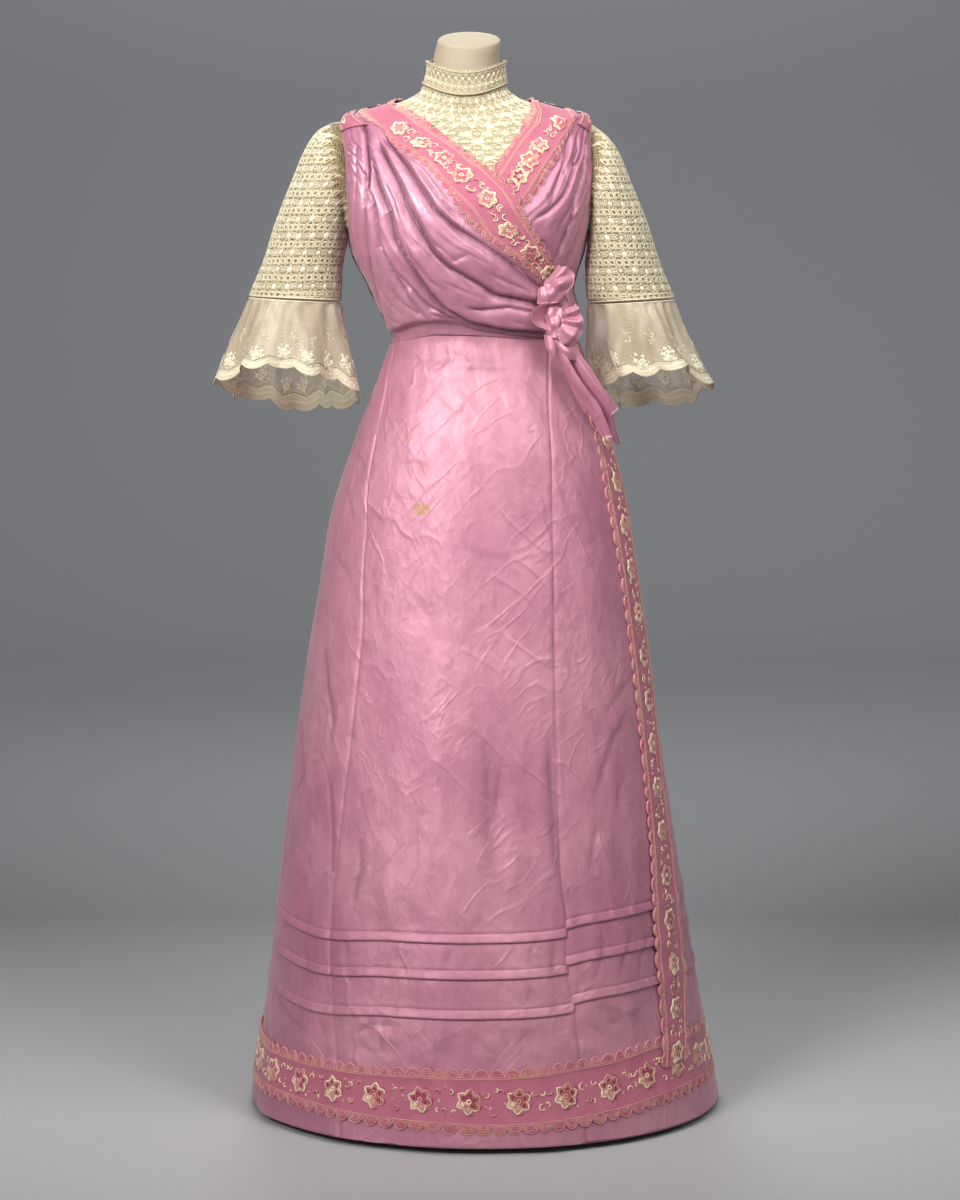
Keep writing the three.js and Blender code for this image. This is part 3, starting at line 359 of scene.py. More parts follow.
class Mat:
    def __init__(self, name, rough, sheen=0.0, spec=0.5, sheen_rough=0.4, aniso=0.0):
        self.m = bpy.data.materials.new(name)
        self.m.use_nodes = True
        self.t = self.m.node_tree
        self.b = self.t.nodes["Principled BSDF"]
        self.b.inputs["Roughness"].default_value = rough
        self.b.inputs["Sheen Weight"].default_value = sheen
        self.b.inputs["Sheen Roughness"].default_value = sheen_rough
        self.b.inputs["Specular IOR Level"].default_value = spec
        self.b.inputs["Anisotropic"].default_value = aniso
        self.co = self.node("ShaderNodeTexCoord").outputs["Object"]
        self.uv = None

    def node(self, kind, **kw):
        n = self.t.nodes.new(kind)
        for k, v in kw.items():
            setattr(n, k, v)
        return n

    def link(self, a, b):
        self.t.links.new(a, b)

    def scaled(self, sx, sy, sz, src=None, turn=(0, 0, 0)):
        n = self.node("ShaderNodeMapping")
        n.inputs["Scale"].default_value = (sx, sy, sz)
        n.inputs["Rotation"].default_value = turn
        self.link(src or self.co, n.inputs["Vector"])
        return n.outputs[0]

    def noise(self, scale, detail=3, rough=0.5, vec=None, dist=0.0):
        n = self.node("ShaderNodeTexNoise")
        n.inputs["Scale"].default_value = scale
        n.inputs["Detail"].default_value = detail
        n.inputs["Roughness"].default_value = rough
        n.inputs["Distortion"].default_value = dist
        self.link(vec or self.co, n.inputs["Vector"])
        return n.outputs["Fac"]

    def voronoi(self, scale, feature="F1", vec=None, out="Distance", rand=1.0):
        n = self.node("ShaderNodeTexVoronoi", feature=feature)
        n.inputs["Scale"].default_value = scale
        n.inputs["Randomness"].default_value = rand
        self.link(vec or self.co, n.inputs["Vector"])
        return n.outputs[out]

    def ramp(self, fac, stops):
        n = self.node("ShaderNodeValToRGB")
        e = n.color_ramp.elements
        while len(e) < len(stops):
            e.new(0.5)
        for el, (p, c) in zip(e, stops):
            el.position = p
            el.color = c if len(c) == 4 else (*c, 1)
        self.link(fac, n.inputs[0])
        return n.outputs[0]

    def mix(self, fac, a, b, mode="MIX"):
        n = self.node("ShaderNodeMix", data_type="RGBA", blend_type=mode)
        for s, v in ((n.inputs[0], fac), (n.inputs[6], a), (n.inputs[7], b)):
            if isinstance(v, (int, float)):
                s.default_value = v
            elif isinstance(v, tuple):
                s.default_value = v
            else:
                self.link(v, s)
        return n.outputs[2]

    def math(self, op, a, b=None, c=None, clamp=False):
        n = self.node("ShaderNodeMath", operation=op, use_clamp=clamp)
        for s, v in zip(n.inputs, (a, b, c)):
            if v is None:
                continue
            if isinstance(v, (int, float)):
                s.default_value = v
            else:
                self.link(v, s)
        return n.outputs[0]

    def bump(self, height, strength, dist, normal=None):
        n = self.node("ShaderNodeBump")
        n.inputs["Strength"].default_value = strength
        n.inputs["Distance"].default_value = dist
        self.link(height, n.inputs["Height"])
        if normal is not None:
            self.link(normal, n.inputs["Normal"])
        return n.outputs[0]

    def colour(self, c):
        if isinstance(c, tuple):
            self.b.inputs["Base Color"].default_value = c
        else:
            self.link(c, self.b.inputs["Base Color"])

    def set(self, name, v):
        self.link(v, self.b.inputs[name])


def spots(m, base, places):
    """stains: (x, y, z, half width, half height, colour, strength)"""
    sep = m.node("ShaderNodeSeparateXYZ")
    m.link(m.co, sep.inputs[0])
    wob = m.noise(260, 2)
    for x, y, z, a, b, col, strength in places:
        dx = m.math("DIVIDE", m.math("SUBTRACT", sep.outputs[0], x), a)
        dz = m.math("DIVIDE", m.math("SUBTRACT", sep.outputs[2], z), b)
        fy = m.math("LESS_THAN", sep.outputs[1], y + 0.06)
        r2 = m.math("ADD", m.math("MULTIPLY", dx, dx), m.math("MULTIPLY", dz, dz))
        r = m.math("ADD", m.math("SQRT", r2), m.math("MULTIPLY", m.math("SUBTRACT", wob, 0.5), 0.35))
        core = m.math("SUBTRACT", 1.0, m.math("SMOOTH_MIN", m.math("MULTIPLY", m.math("MAXIMUM", m.math("SUBTRACT", r, 0.8), 0.0), 4.0), 1.0, 0.1), clamp=True)
        fac = m.math("MULTIPLY", m.math("MULTIPLY", core, strength), fy)
        base = m.mix(fac, base, srgb(col))
    return base


def silk(name, base="#AD6A83", light="#C68899", dark="#95536C", warm="#B47A82", stained=False, rough=0.52, crease=1.0):
    m = Mat(name, rough, sheen=0.25, spec=0.85, sheen_rough=0.4)
    m.b.inputs["Metallic"].default_value = 0.24
    big = m.noise(5.5, 4, 0.55)
    fine = m.noise(60, 5, 0.62, m.scaled(1, 1, 0.45))
    thread = m.noise(900, 2, 0.5, m.scaled(1, 1, 0.12))
    c = m.mix(m.ramp(big, [(0.36, (0, 0, 0)), (0.66, (1, 1, 1))]), srgb(base), srgb(light))
    c = m.mix(m.math("MULTIPLY", m.ramp(fine, [(0.44, (0, 0, 0)), (0.72, (1, 1, 1))]), 0.42), c, srgb(dark))
    c = m.mix(m.math("MULTIPLY", m.ramp(m.noise(2.3, 3), [(0.5, (0, 0, 0)), (0.72, (1, 1, 1))]), 0.3), c, srgb(warm))
    c = m.mix(m.math("MULTIPLY", thread, 0.16), c, srgb(light))
    if stained:
        c = spots(m, c, STAINS)
    # painted shade: the silk is darkened toward #5E2A45 in folds, seam grooves and under the tucks
    painted_crease_shade = m.node("ShaderNodeAttribute", attribute_name="painted_crease_shade").outputs["Fac"]
    c = m.mix(m.math("MULTIPLY", painted_crease_shade, 0.85), c, srgb("#5E2A45"))
    m.colour(c)
    m.set("Roughness", m.math("ADD", rough - 0.07, m.math("MULTIPLY", fine, 0.18)))
    # creases: thin ridges where two noises cross, in two slanting sets
    def ridges(scale, vec, sharp, dist):
        r = m.math("ABSOLUTE", m.math("SUBTRACT", m.noise(scale, 2, 0.5, vec, dist), 0.5))
        return m.math("SUBTRACT", 1.0, m.math("MULTIPLY", r, sharp), clamp=True)
    v1 = m.scaled(1, 1, 0.25, m.scaled(1, 1, 1, turn=(0.0, 0.62, 0.0)))
    v2 = m.scaled(1, 1, 0.25, m.scaled(1, 1, 1, turn=(0.0, -0.8, 0.0)))
    gate = m.ramp(m.noise(7, 2), [(0.40, (0, 0, 0)), (0.60, (1, 1, 1))])
    gate2 = m.ramp(m.noise(11, 2), [(0.42, (0, 0, 0)), (0.62, (1, 1, 1))])
    n1 = m.bump(m.math("MULTIPLY", ridges(17, v1, 24.0, 0.15), gate), 0.55 * crease, 0.0013)
    n2 = m.bump(m.math("MULTIPLY", ridges(27, v2, 20.0, 0.2), gate2), 0.5 * crease, 0.0011, n1)
    n3 = m.bump(ridges(60, m.scaled(1, 1, 0.5, m.scaled(1, 1, 1, turn=(0.0, 0.3, 0.0))), 9.0, 0.3), 0.3 * crease, 0.0008, n2)
    n4 = m.bump(m.noise(26, 4, 0.62), 0.2 * crease, 0.0030, n3)
    n5 = m.bump(m.noise(1500, 1, 0.5, m.scaled(1, 1, 0.08)), 0.05, 0.0004, n4)
    m.link(n5, m.b.inputs["Normal"])
    return m.m


STAIN_AT = S(-23.0, 802.0, 1.5) * 0.001
STAIN_B = S(-31.9, 888.0, 1.5) * 0.001
STAINS = [(float(STAIN_AT[0]), float(STAIN_AT[1]), float(STAIN_AT[2]), 0.0118, 0.0092, "#A9805F", 0.85),
          (float(STAIN_B[0]), float(STAIN_B[1]), float(STAIN_B[2]), 0.0045, 0.0040, "#C98F78", 0.35)]

M_SILK = silk("satin_silk", stained=True)
M_SILK_BODICE = silk("satin_bodice", base="#B16D88", light="#C78A9E", dark="#93526F", rough=0.43, crease=0.6)
M_BOW = silk("satin_bow", base="#AF6A84", light="#C5869A", dark="#904D6B", rough=0.42, crease=0.8)


def ground_mat():
    m = Mat("band_ground", 0.78, sheen=0.3, spec=0.3)
    n = m.noise(240, 3, 0.6)
    c = m.mix(n, srgb("#A6566E"), srgb("#BC7082"))
    c = m.mix(m.math("MULTIPLY", m.ramp(m.noise(38, 3), [(0.42, (0, 0, 0)), (0.7, (1, 1, 1))]), 0.5), c, srgb("#BE7484"))
    m.colour(c)
    net = m.voronoi(620, "DISTANCE_TO_EDGE", rand=0.5)
    m.link(m.bump(net, 0.5, 0.0006, m.bump(n, 0.3, 0.0008)), m.b.inputs["Normal"])
    return m.m


def edge_mat():
    m = Mat("band_edging", 0.8, sheen=0.3, spec=0.3)
    n = m.noise(420, 3, 0.6)
    holes = m.voronoi(560, rand=0.7)
    c = m.mix(n, srgb("#AE5A74"), srgb("#C27885"))
    # painted shade: the edging's holes are painted darker, standing in for shade through the openwork
    c = m.mix(m.ramp(holes, [(0.16, (1, 1, 1)), (0.34, (0, 0, 0))]), c, srgb("#9A4A63"))
    m.colour(c)
    m.link(m.bump(holes, 0.6, 0.0009), m.b.inputs["Normal"])
    return m.m


def thread_mat(name, a, b, rough=0.55, scale=900):
    m = Mat(name, rough, sheen=0.25, spec=0.45)
    n = m.noise(scale, 3, 0.6)
    c = m.mix(n, srgb(a), srgb(b))
    m.colour(m.mix(m.math("MULTIPLY", m.noise(70, 2), 0.4), c, srgb(a)))
    m.link(m.bump(m.noise(scale * 1.5, 2), 0.6, 0.0006), m.b.inputs["Normal"])
    return m.m


M_GROUND, M_EDGE = ground_mat(), edge_mat()
M_PEACH = thread_mat("thread_peach", "#C4877C", "#E0B3A2")
M_CREAM = thread_mat("thread_cream", "#E0C8A2", "#F6EACB")
M_CRIMSON = thread_mat("thread_crimson", "#861F3E", "#B23C5A")
M_ROSE = thread_mat("thread_rose", "#B3506F", "#D0708C")
TRIMS = [M_GROUND, M_EDGE, M_PEACH, M_CREAM, M_CRIMSON, M_ROSE]
G_, E_, P_, C_, K_, R_ = range(6)


def lace_ground(name, a, b, dark, hole_scale, hole_lo, hole_hi, alpha):
    """fine net: specks of painted shade where its meshes open, and partly clear"""
    m = Mat(name, 0.9, sheen=0.2, spec=0.25)
    n = m.noise(130, 4, 0.65)
    holes = m.voronoi(hole_scale, rand=0.55)
    c = m.mix(n, srgb(a), srgb(b))
    open_ = m.ramp(holes, [(hole_lo, (1, 1, 1)), (hole_hi, (0, 0, 0))])
    gate = m.ramp(m.noise(48, 2), [(0.34, (0.25, 0.25, 0.25)), (0.62, (1, 1, 1))])
    open_ = m.math("MULTIPLY", open_, gate)
    # painted shade: the open meshes take the dark colour
    m.colour(m.mix(open_, c, srgb(dark)))
    m.link(m.bump(holes, 0.7, 0.0010, m.bump(n, 0.5, 0.0012)), m.b.inputs["Normal"])
    if alpha < 1:
        m.set("Alpha", m.math("SUBTRACT", 1.0, m.math("MULTIPLY", open_, 1 - alpha)))
    return m.m


def thread_lace(name, a, b):
    m = Mat(name, 0.85, sheen=0.25, spec=0.3)
    n = m.noise(520, 3, 0.65)
    m.colour(m.mix(m.math("MULTIPLY", m.noise(30, 2), 0.55), m.mix(n, srgb(a), srgb(b)), srgb(a)))
    m.link(m.bump(n, 0.6, 0.0008), m.b.inputs["Normal"])
    return m.m


M_LACE = thread_lace("lace_thread", "#C2B697", "#E3DAC3")
M_LACE_WHITE = thread_lace("lace_white", "#D2C9B0", "#EBE4D2")
# the sleeve net's holes are partly clear and also painted dark; the yoke net's holes are painted shade only
M_LACE_GROUND = lace_ground("lace_net", "#918362", "#AC9E7C", "#4B3D2C", 400, 0.26, 0.48, 0.15)
M_YOKE = lace_ground("lace_yoke", "#978B6D", "#B3A789", "#5F5136", 360, 0.20, 0.33, 1.0)


def net_mat():
    m = Mat("flounce_net", 0.9, sheen=0.3, spec=0.25)
    n = m.noise(16, 3, 0.5)
    # painted shade: vertical streaks of dark tan standing in for the shadows of the flutes
    pleat_shade = m.noise(34, 3, 0.6, m.scaled(1, 1, 0.10))
    c = m.mix(n, srgb("#D8C4A2"), srgb("#F0E6D2"))
    c = m.mix(m.math("MULTIPLY", m.ramp(pleat_shade, [(0.42, (1, 1, 1)), (0.58, (0, 0, 0))]), 0.55), c, srgb("#B39A74"))
    m.colour(c)
    web = m.voronoi(900, "DISTANCE_TO_EDGE", rand=0.35)
    a = m.math("ADD", 0.34, m.math("MULTIPLY", m.ramp(web, [(0.04, (1, 1, 1)), (0.16, (0, 0, 0))]), 0.36))
    m.set("Alpha", m.math("ADD", a, m.math("MULTIPLY", m.math("SUBTRACT", n, 0.5), 0.25), clamp=True))
    m.link(m.bump(web, 0.3, 0.0005), m.b.inputs["Normal"])
    return m.m


M_NET = net_mat()


def form_mat():
    m = Mat("form_cloth", 0.82, sheen=0.25, spec=0.3)
    w1 = m.noise(900, 2, 0.5, m.scaled(1, 1, 0.1))
    w2 = m.noise(900, 2, 0.5, m.scaled(0.1, 0.1, 1))
    c = m.mix(m.noise(14, 4), srgb("#A79984"), srgb("#B6A993"))
    m.colour(m.mix(m.math("MULTIPLY", w1, 0.25), c, srgb("#9B8C74")))
    m.link(m.bump(m.math("ADD", w1, w2), 0.35, 0.0005), m.b.inputs["Normal"])
    return m.m


def metal_mat():
    m = Mat("stand_paint", 0.42, spec=0.5)
    n = m.noise(240, 3)
    m.colour(m.mix(n, srgb("#2A2724"), srgb("#3A3632")))
    m.set("Roughness", m.math("ADD", 0.36, m.math("MULTIPLY", n, 0.18)))
    m.link(m.bump(n, 0.15, 0.0004), m.b.inputs["Normal"])
    return m.m


M_FORM, M_METAL = form_mat(), metal_mat()


def done(o, nodes, held="hung", area=None):
    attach(o, "root")
    if nodes:
        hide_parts(*nodes)
    return o


def extra(o):
    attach(o, "root")
    return o


# ------------------------------------------------------------------ skirt
TUCK_V = (266.0, 221.0, 172.0)
wave = curve([-180, -120, -78, -48, -25, 0, 24, 24.5, 40, 56, 90, 130, 180], [4, 6, 3, -9, -1, 0, 4, 14, 20, 22, 22, 12, 4])
waist = curve([-180, -110, -77, -44, -27, -2, 21, 38, 90, 180], [1009, 1009, 1011, 1019, 1023, 1022, 1018, 1016, 1012, 1009])
blouse = curve([-180, -110, -88, -60, -40, -18, -2, 21, 45, 90, 180], [1014, 1014, 1017, 1026, 1035, 1039, 1031, 1023, 1019, 1016, 1014])
HEM = table("at v_lo v_hi", [
    (-180, 26, 103), (-120, 32, 105), (-72, 35, 104), (-50, 33, 103), (-31, 29, 104), (-11, 26, 106), (4, 24, 106),
    (25, 29, 113), (34, 33, 116), (50, 40, 124), (66, 43, 122), (90, 40, 116), (130, 32, 106), (180, 26, 103)])
hem_lo, hem_hi = curve(HEM["at"], HEM["v_lo"]), curve(HEM["at"], HEM["v_hi"])
seam_a = curve([8, 109, 164, 276, 391, 519, 634, 724, 773, 845, 885, 933, 1013],
               [-36, -39.4, -42, -45.7, -44.7, -43.3, -43.5, -46.5, -47.7, -53.2, -55.4, -59.3, -74])
seam_b = curve([8, 111, 176, 219, 281, 336, 486, 687, 877, 1015], [24.7, 25, 24.5, 23.4, 24.2, 23.5, 24.9, 27.2, 31.8, 42])
seam_c, seam_d = curve([8, 500, 1013], [-118, -114, -106]), curve([8, 500, 1013], [118, 114, 106])

# pressed and worn creases of the skirt: depth, half widths, taper, line
SKIRT_TROUGHS = [
    (1.8, 7, 12, 0.3, [(-52, 994), (-30, 991), (-12, 990), (18, 985)]),
    (2.2, 12, 7, 0.3, [(-40, 982), (-24, 986), (-3, 980), (22, 981)]),
    (1.2, 5, 6, 0.4, [(-29, 1003), (-12, 999), (0, 993)]),
    (1.5, 6, 6, 0.4, [(8, 996), (20, 1000), (30, 996)]),
    (1.6, 7, 9, 0.3, [(-73, 875), (-54, 848)]),
    (1.6, 8, 6, 0.3, [(-71, 827), (-61, 804), (-54, 780)]),
    (1.5, 6, 9, 0.3, [(-73, 753), (-60, 726), (-50, 705)]),
    (1.3, 7, 6, 0.4, [(-76, 690), (-62, 655), (-50, 640)]),
    (1.1, 6, 5, 0.4, [(45, 874), (50, 856)]),
    (1.1, 7, 7, 0.4, [(40, 751), (53, 767)]),
    (1.1, 6, 9, 0.4, [(38, 722), (52, 741)]),
    (0.9, 6, 6, 0.4, [(14, 906), (19.6, 922)]),
    (1.0, 9, 6, 0.4, [(-6, 884), (6, 868), (16, 872)]),
    (0.9, 7, 9, 0.4, [(-38, 868), (-30, 846), (-24, 836)]),
    (0.9, 6, 8, 0.4, [(-40, 822), (-31, 812), (-22, 819)]),
    (0.8, 8, 8, 0.4, [(-12, 770), (2, 744), (18, 738)]),
    (0.8, 8, 8, 0.4, [(-34, 720), (-22, 690), (-16, 660)]),
    (0.8, 8, 8, 0.4, [(-8, 668), (8, 655), (20, 662)]),
    (2.4, 9, 15, 0.2, [(-66, 630), (-60, 582), (-53, 532), (-52.7, 487)]),
    (2.2, 6, 9, 0.2, [(-52, 472), (-47.5, 385), (-46, 302)]),
    (1.8, 6, 8, 0.4, [(-65, 489), (-54, 479)]),
    (1.6, 6, 6, 0.4, [(-66, 465), (-53, 477)]),
    (2.2, 8, 10, 0.3, [(-80, 523), (-67, 450), (-76, 407)]),
    (1.4, 7, 6, 0.4, [(-47, 519), (-40, 506)]),
    (1.6, 8, 6, 0.4, [(-62, 414), (-54, 392)]),
    (1.4, 6, 7, 0.4, [(-70, 372), (-58, 352)]),
    (1.5, 6, 9, 0.4, [(-66, 330), (-55, 318)]),
    (2.4, 9, 15, 0.3, [(-37.5, 392), (-35.7, 352), (-38, 296)]),
    (1.2, 6, 6, 0.4, [(-44, 452), (-38, 440), (-34, 402)]),
    (1.9, 26, 30, 0.4, [(-1, 564), (2.8, 484), (2.5, 395), (3.8, 300)]),
    (1.8, 14, 22, 0.4, [(8, 509), (5.7, 451), (3.6, 395)]),
    (2.4, 20, 12, 0.3, [(23, 540), (22.6, 470), (22.6, 393), (22, 300)]),
    (1.6, 9, 8, 0.3, [(64, 589), (47, 548), (45, 531)]),
    (1.9, 10, 14, 0.3, [(57, 542), (47, 507), (40.5, 462), (36, 426)]),
    (1.7, 8, 12, 0.3, [(37, 411), (32, 335)]),
    (1.5, 8, 8, 0.4, [(53, 470), (47, 440), (45, 400)]),
    (1.8, 6, 9, 0.3, [(47.5, 275), (42.6, 237), (38.3, 203)]),
    (1.6, 6, 7, 0.3, [(54, 262), (48, 226), (46, 196)]),
    (1.5, 6, 8, 0.3, [(36, 262), (33, 226), (30, 200)]),
    (1.8, 6, 8, 0.3, [(29, 178), (37, 167), (47, 146)]),
    (1.8, 7, 8, 0.3, [(32, 144), (39, 159), (49, 162)]),
    (1.4, 6, 6, 0.3, [(26, 158), (31, 146), (36, 132)]),
    (1.3, 6, 6, 0.3, [(20, 262), (18.7, 215)]),
    (1.3, 6, 6, 0.3, [(14, 258), (12, 228)]),
    (1.3, 6, 6, 0.3, [(13, 210), (11.5, 184)]),
    (1.9, 7, 8, 0.3, [(-37, 137), (-30, 153), (-22, 156)]),
    (1.9, 6, 8, 0.3, [(-27.6, 146), (-25.9, 118)]),
    (1.6, 6, 6, 0.3, [(-33, 130), (-29, 119), (-24, 124)]),
    (1.4, 6, 6, 0.3, [(-16, 152), (-12, 134), (-11, 118)]),
    (1.3, 6, 6, 0.3, [(-2, 150), (1, 130), (5, 120)]),
    (1.5, 6, 6, 0.3, [(12, 156), (9, 136), (10, 118)]),
    (1.3, 6, 6, 0.3, [(-40, 262), (-38, 236)]), (1.2, 6, 6, 0.3, [(-24, 256), (-23, 232)]),
    (1.2, 6, 6, 0.3, [(-31, 212), (-30, 186)]), (1.2, 6, 6, 0.3, [(-8, 258), (-9, 230)]),
    (1.6, 8, 9, 0.3, [(-58, 250), (-54, 215), (-53, 188)]), (1.5, 8, 8, 0.3, [(-66, 208), (-62, 178)]),
    (1.7, 8, 10, 0.3, [(-70, 160), (-60, 142), (-50, 128)]), (1.4, 8, 8, 0.3, [(-48, 158), (-44, 126)]),
    # the hidden side and back panels
    (2.0, 10, 14, 0.3, [(-96, 640), (-92, 560), (-88, 480)]), (1.8, 9, 9, 0.3, [(-104, 420), (-96, 360), (-94, 300)]),
    (1.8, 8, 12, 0.3, [(96, 620), (98, 540), (94, 470)]), (1.6, 8, 9, 0.3, [(104, 380), (98, 330), (99, 280)]),
    (1.6, 9, 8, 0.3, [(-90, 820), (-98, 760), (-100, 700)]), (1.6, 9, 8, 0.3, [(92, 860), (98, 800), (96, 730)]),
    (2.2, 12, 16, 0.3, [(140, 960), (142, 800), (141, 620)]), (2.4, 14, 12, 0.3, [(167, 980), (168, 780), (167, 560)]),
    (2.2, 12, 16, 0.3, [(-141, 960), (-140, 780), (-142, 600)]), (2.4, 12, 14, 0.3, [(-168, 980), (-166, 760), (-168, 520)]),
    (1.6, 9, 10, 0.3, [(150, 420), (144, 380), (146, 320)]), (1.6, 9, 10, 0.3, [(-152, 440), (-147, 390), (-150, 330)]),
    (1.5, 8, 8, 0.3, [(176, 380), (170, 350), (172, 300)]), (1.5, 8, 8, 0.3, [(-130, 340), (-124, 310), (-126, 270)]),
    (1.5, 8, 8, 0.3, [(126, 350), (121, 310), (124, 270)]),
]
SKIRT_RIDGES = [
    (2.2, 26, [(-14, 560), (-13, 420), (-14, 300)]), (2.6, 22, [(11.8, 540), (10, 395), (9, 280)]),
    (2.4, 20, [(-27.5, 400), (-26.5, 330), (-26.3, 270)]), (2.0, 26, [(-60, 420), (-56, 343), (-58, 290)]),
    (3.0, 40, [(-34, 960), (-30, 900), (-26, 840)]), (2.0, 34, [(20, 960), (28, 900), (36, 840)]),
    (-2.2, 44, [(16, 860), (20, 800), (20, 720)]), (-1.6, 40, [(-20, 700), (-10, 640), (0, 600)]),
    (2.0, 22, [(38, 400), (40, 330), (41, 280)]), (1.8, 20, [(50, 380), (50, 320), (51, 290)]),
    (1.8, 15, [(-30, 146), (-24, 138)]), (1.6, 13, [(39, 168), (44, 158)]),
]


def tuck_profile(d):
    return np.interp(d, [-14, -9, -6.6, -5.7, -5.0, -3.6, 0, 4.4, 5.2, 5.9, 8, 14],
                     [0, -0.5, -0.9, -0.6, 2.3, 2.7, 1.9, 0.9, 0.1, -0.5, 0.3, 0])


def rows_from(v0, at):
    """height of the rows v0 round the skirt, so that bands and tucks run level with them"""
    at = np.atleast_1d(at)
    out = np.empty((len(v0), len(at)))
    w = wave(at)
    lo, hi, top = hem_lo(at), hem_hi(at), waist(at) - 0.3
    for c in range(len(at)):
        out[:, c] = np.interp(v0, [9, 30, 110, 158, 282, 345, 950, 1009],
                              [9, lo[c], hi[c], 158 + w[c], 282 + w[c], 345, 950, top[c]])
    return out


def row_list(step, dense):
    base = [np.arange(9, 30, 3.5), np.arange(30, 110, step), np.arange(110, 156, step * 0.8)]
    marks = []
    for t in TUCK_V:
        marks += [t + d for d in ((-12, -9, -7.4, -6.6, -6.1, -5.7, -5.35, -5.0, -4.4, -3.4, -1.6, 0.4, 2.4, 4.0, 4.7, 5.3, 5.9, 7, 9, 12) if dense
                                  else (-9, -6.6, -5.8, -5.0, -3.4, 0, 4.4, 5.4, 6.2, 9))]
    mid = [v for v in np.arange(156, 286, step) if min(abs(v - t) for t in TUCK_V) > 13]
    rest = [np.arange(286, 950, step), np.linspace(950, 1009, int(60 / (step * 0.8)))]
    return np.unique(np.round(np.concatenate(base + [np.array(marks), np.array(mid)] + rest), 2))


def skirt_off(at, v0, v, seams, detail=True):
    """how far the silk lies out of the body surface"""
    k = mm_per_deg(v)
    o = np.full(at.shape, 1.0)
    o = o - fold_field(at, v, SKIRT_TROUGHS) + ridge_field(at, v, SKIRT_RIDGES)
    u = at * 4.4
    o = o + 1.1 * noise(u, v, (70, 9), 9) * sm(945, 965, v) * sm(1012, 998, v)       # puckers under the waist
    o = o + 1.9 * noise(u, v, (60, 190), 3) + 0.5 * noise(u + 0.4 * v, v, (24, 60), 4) + 0.16 * noise(u - 0.5 * v, v, (11, 26), 5)
    # cloth is pulled by the tucks' stitches
    for t in TUCK_V:
        d = v0 - t
        o = o + tuck_profile(d) * (1 + 0.16 * noise(u, 0 * u + t, (16, 9), 6))
        near = np.exp(-np.abs(d - 5.6) / 6.5)
        o = o + near * (0.75 * noise(u, 0 * u + t, (7, 9), 7) + 0.6 * noise(u, 0 * u + t, (19, 9), 8))
    near = sm(120, 150, v0) * sm(330, 285, v0)
    o = o + near * (0.9 * noise(u, v, (17, 60), 9))
    o = o + sm(158, 140, v0) * sm(100, 118, v0) * (1.3 * noise(u, v, (22, 16), 10))
    o = o + sm(945, 1000, v0) * (0.7 * noise(u, v, (40, 11), 11))
    for f in seams:
        d = (at - f(v)) * k
        o = o - 1.5 * np.exp(-(d / 2.0) ** 2) + 0.9 * np.exp(-((np.abs(d) - 5) / 4) ** 2) * noise(0 * v, v, (9, 11), 12)
    return o


def skirt_panel(name, left, right, step_at, step_v, dense, lo_at=None, hi_at=None, seams=()):
    v0 = row_list(step_v, dense)
    width = (right(100) - left(100)) * 5.3
    ni = int(width / step_at) + 1
    L, R = left(v0)[:, None], right(v0)[:, None]
    at = L + (R - L) * np.linspace(0, 1, ni)[None, :]
    v = np.empty_like(at)
    for c in range(ni):                      # rows follow the place round the skirt
        a = at[:, c]
        if lo_at is not None:
            a = np.maximum(a, lo_at)
        if hi_at is not None:
            a = np.minimum(a, hi_at)
        w, lo, hi, top = wave(a), hem_lo(a), hem_hi(a), waist(a) - 0.3
        knots = np.array([9, 30, 110, 158, 282, 345, 950, 1009.0])
        vals = np.stack([0 * a + 9, lo, hi, 158 + w, 282 + w, 0 * a + 345, 0 * a + 950, top], 1)
        q = np.clip(np.searchsorted(knots, v0, side="right") - 1, 0, 6)
        f = (v0 - knots[q]) / (knots[q + 1] - knots[q])
        i = np.arange(len(v0))
        v[:, c] = vals[i, q] + f * (vals[i, q + 1] - vals[i, q])
    V0 = np.broadcast_to(v0[:, None], at.shape)
    off = skirt_off(at, V0, v, seams)
    # painted shade for the skirt silk: darker in fold troughs, in a line under each tuck and along the seam grooves
    shade_depth = 0.26 * np.clip(fold_field(at, v, SKIRT_TROUGHS), 0, 3)
    for t in TUCK_V:
        shade_depth = shade_depth + 0.5 * np.exp(-((V0 - t + 6.3) / 1.3) ** 2)
    for f in seams:
        shade_depth = shade_depth + 0.15 * np.exp(-((at - f(v)) * mm_per_deg(v) / 1.6) ** 2)
    # turnings below the seams
    at = np.concatenate([at[:, :1] - 0.9, at, at[:, -1:] + 0.9], 1)
    v = np.concatenate([v[:, :1], v, v[:, -1:]], 1)
    off = np.concatenate([0 * off[:, :1] - 1.7, off, 0 * off[:, :1] - 1.7], 1)
    shade_depth = np.concatenate([shade_depth[:, :1], shade_depth, shade_depth[:, :1]], 1)
    P = S(at, v, off)
    # turned edge inside the hem
    inner = np.stack([S(at[0], v[0] - 0.6, 0.2 + 0 * at[0]), S(at[0], v[0] + 5, -0.9 + 0 * at[0]), S(at[0], v[0] + 14, -1.2 + 0 * at[0])])
    P = np.concatenate([inner[::-1], P])
    shade_depth = np.concatenate([shade_depth[:3] * 0, shade_depth])
    uv = np.stack([np.concatenate([at[:3] * 5, at * 5]), np.concatenate([v[:3] - 9, v])], -1)
    o = grid_object(name, P, [M_SILK], uv=uv, shade_depth=shade_depth)
    return o, surf_area(P)


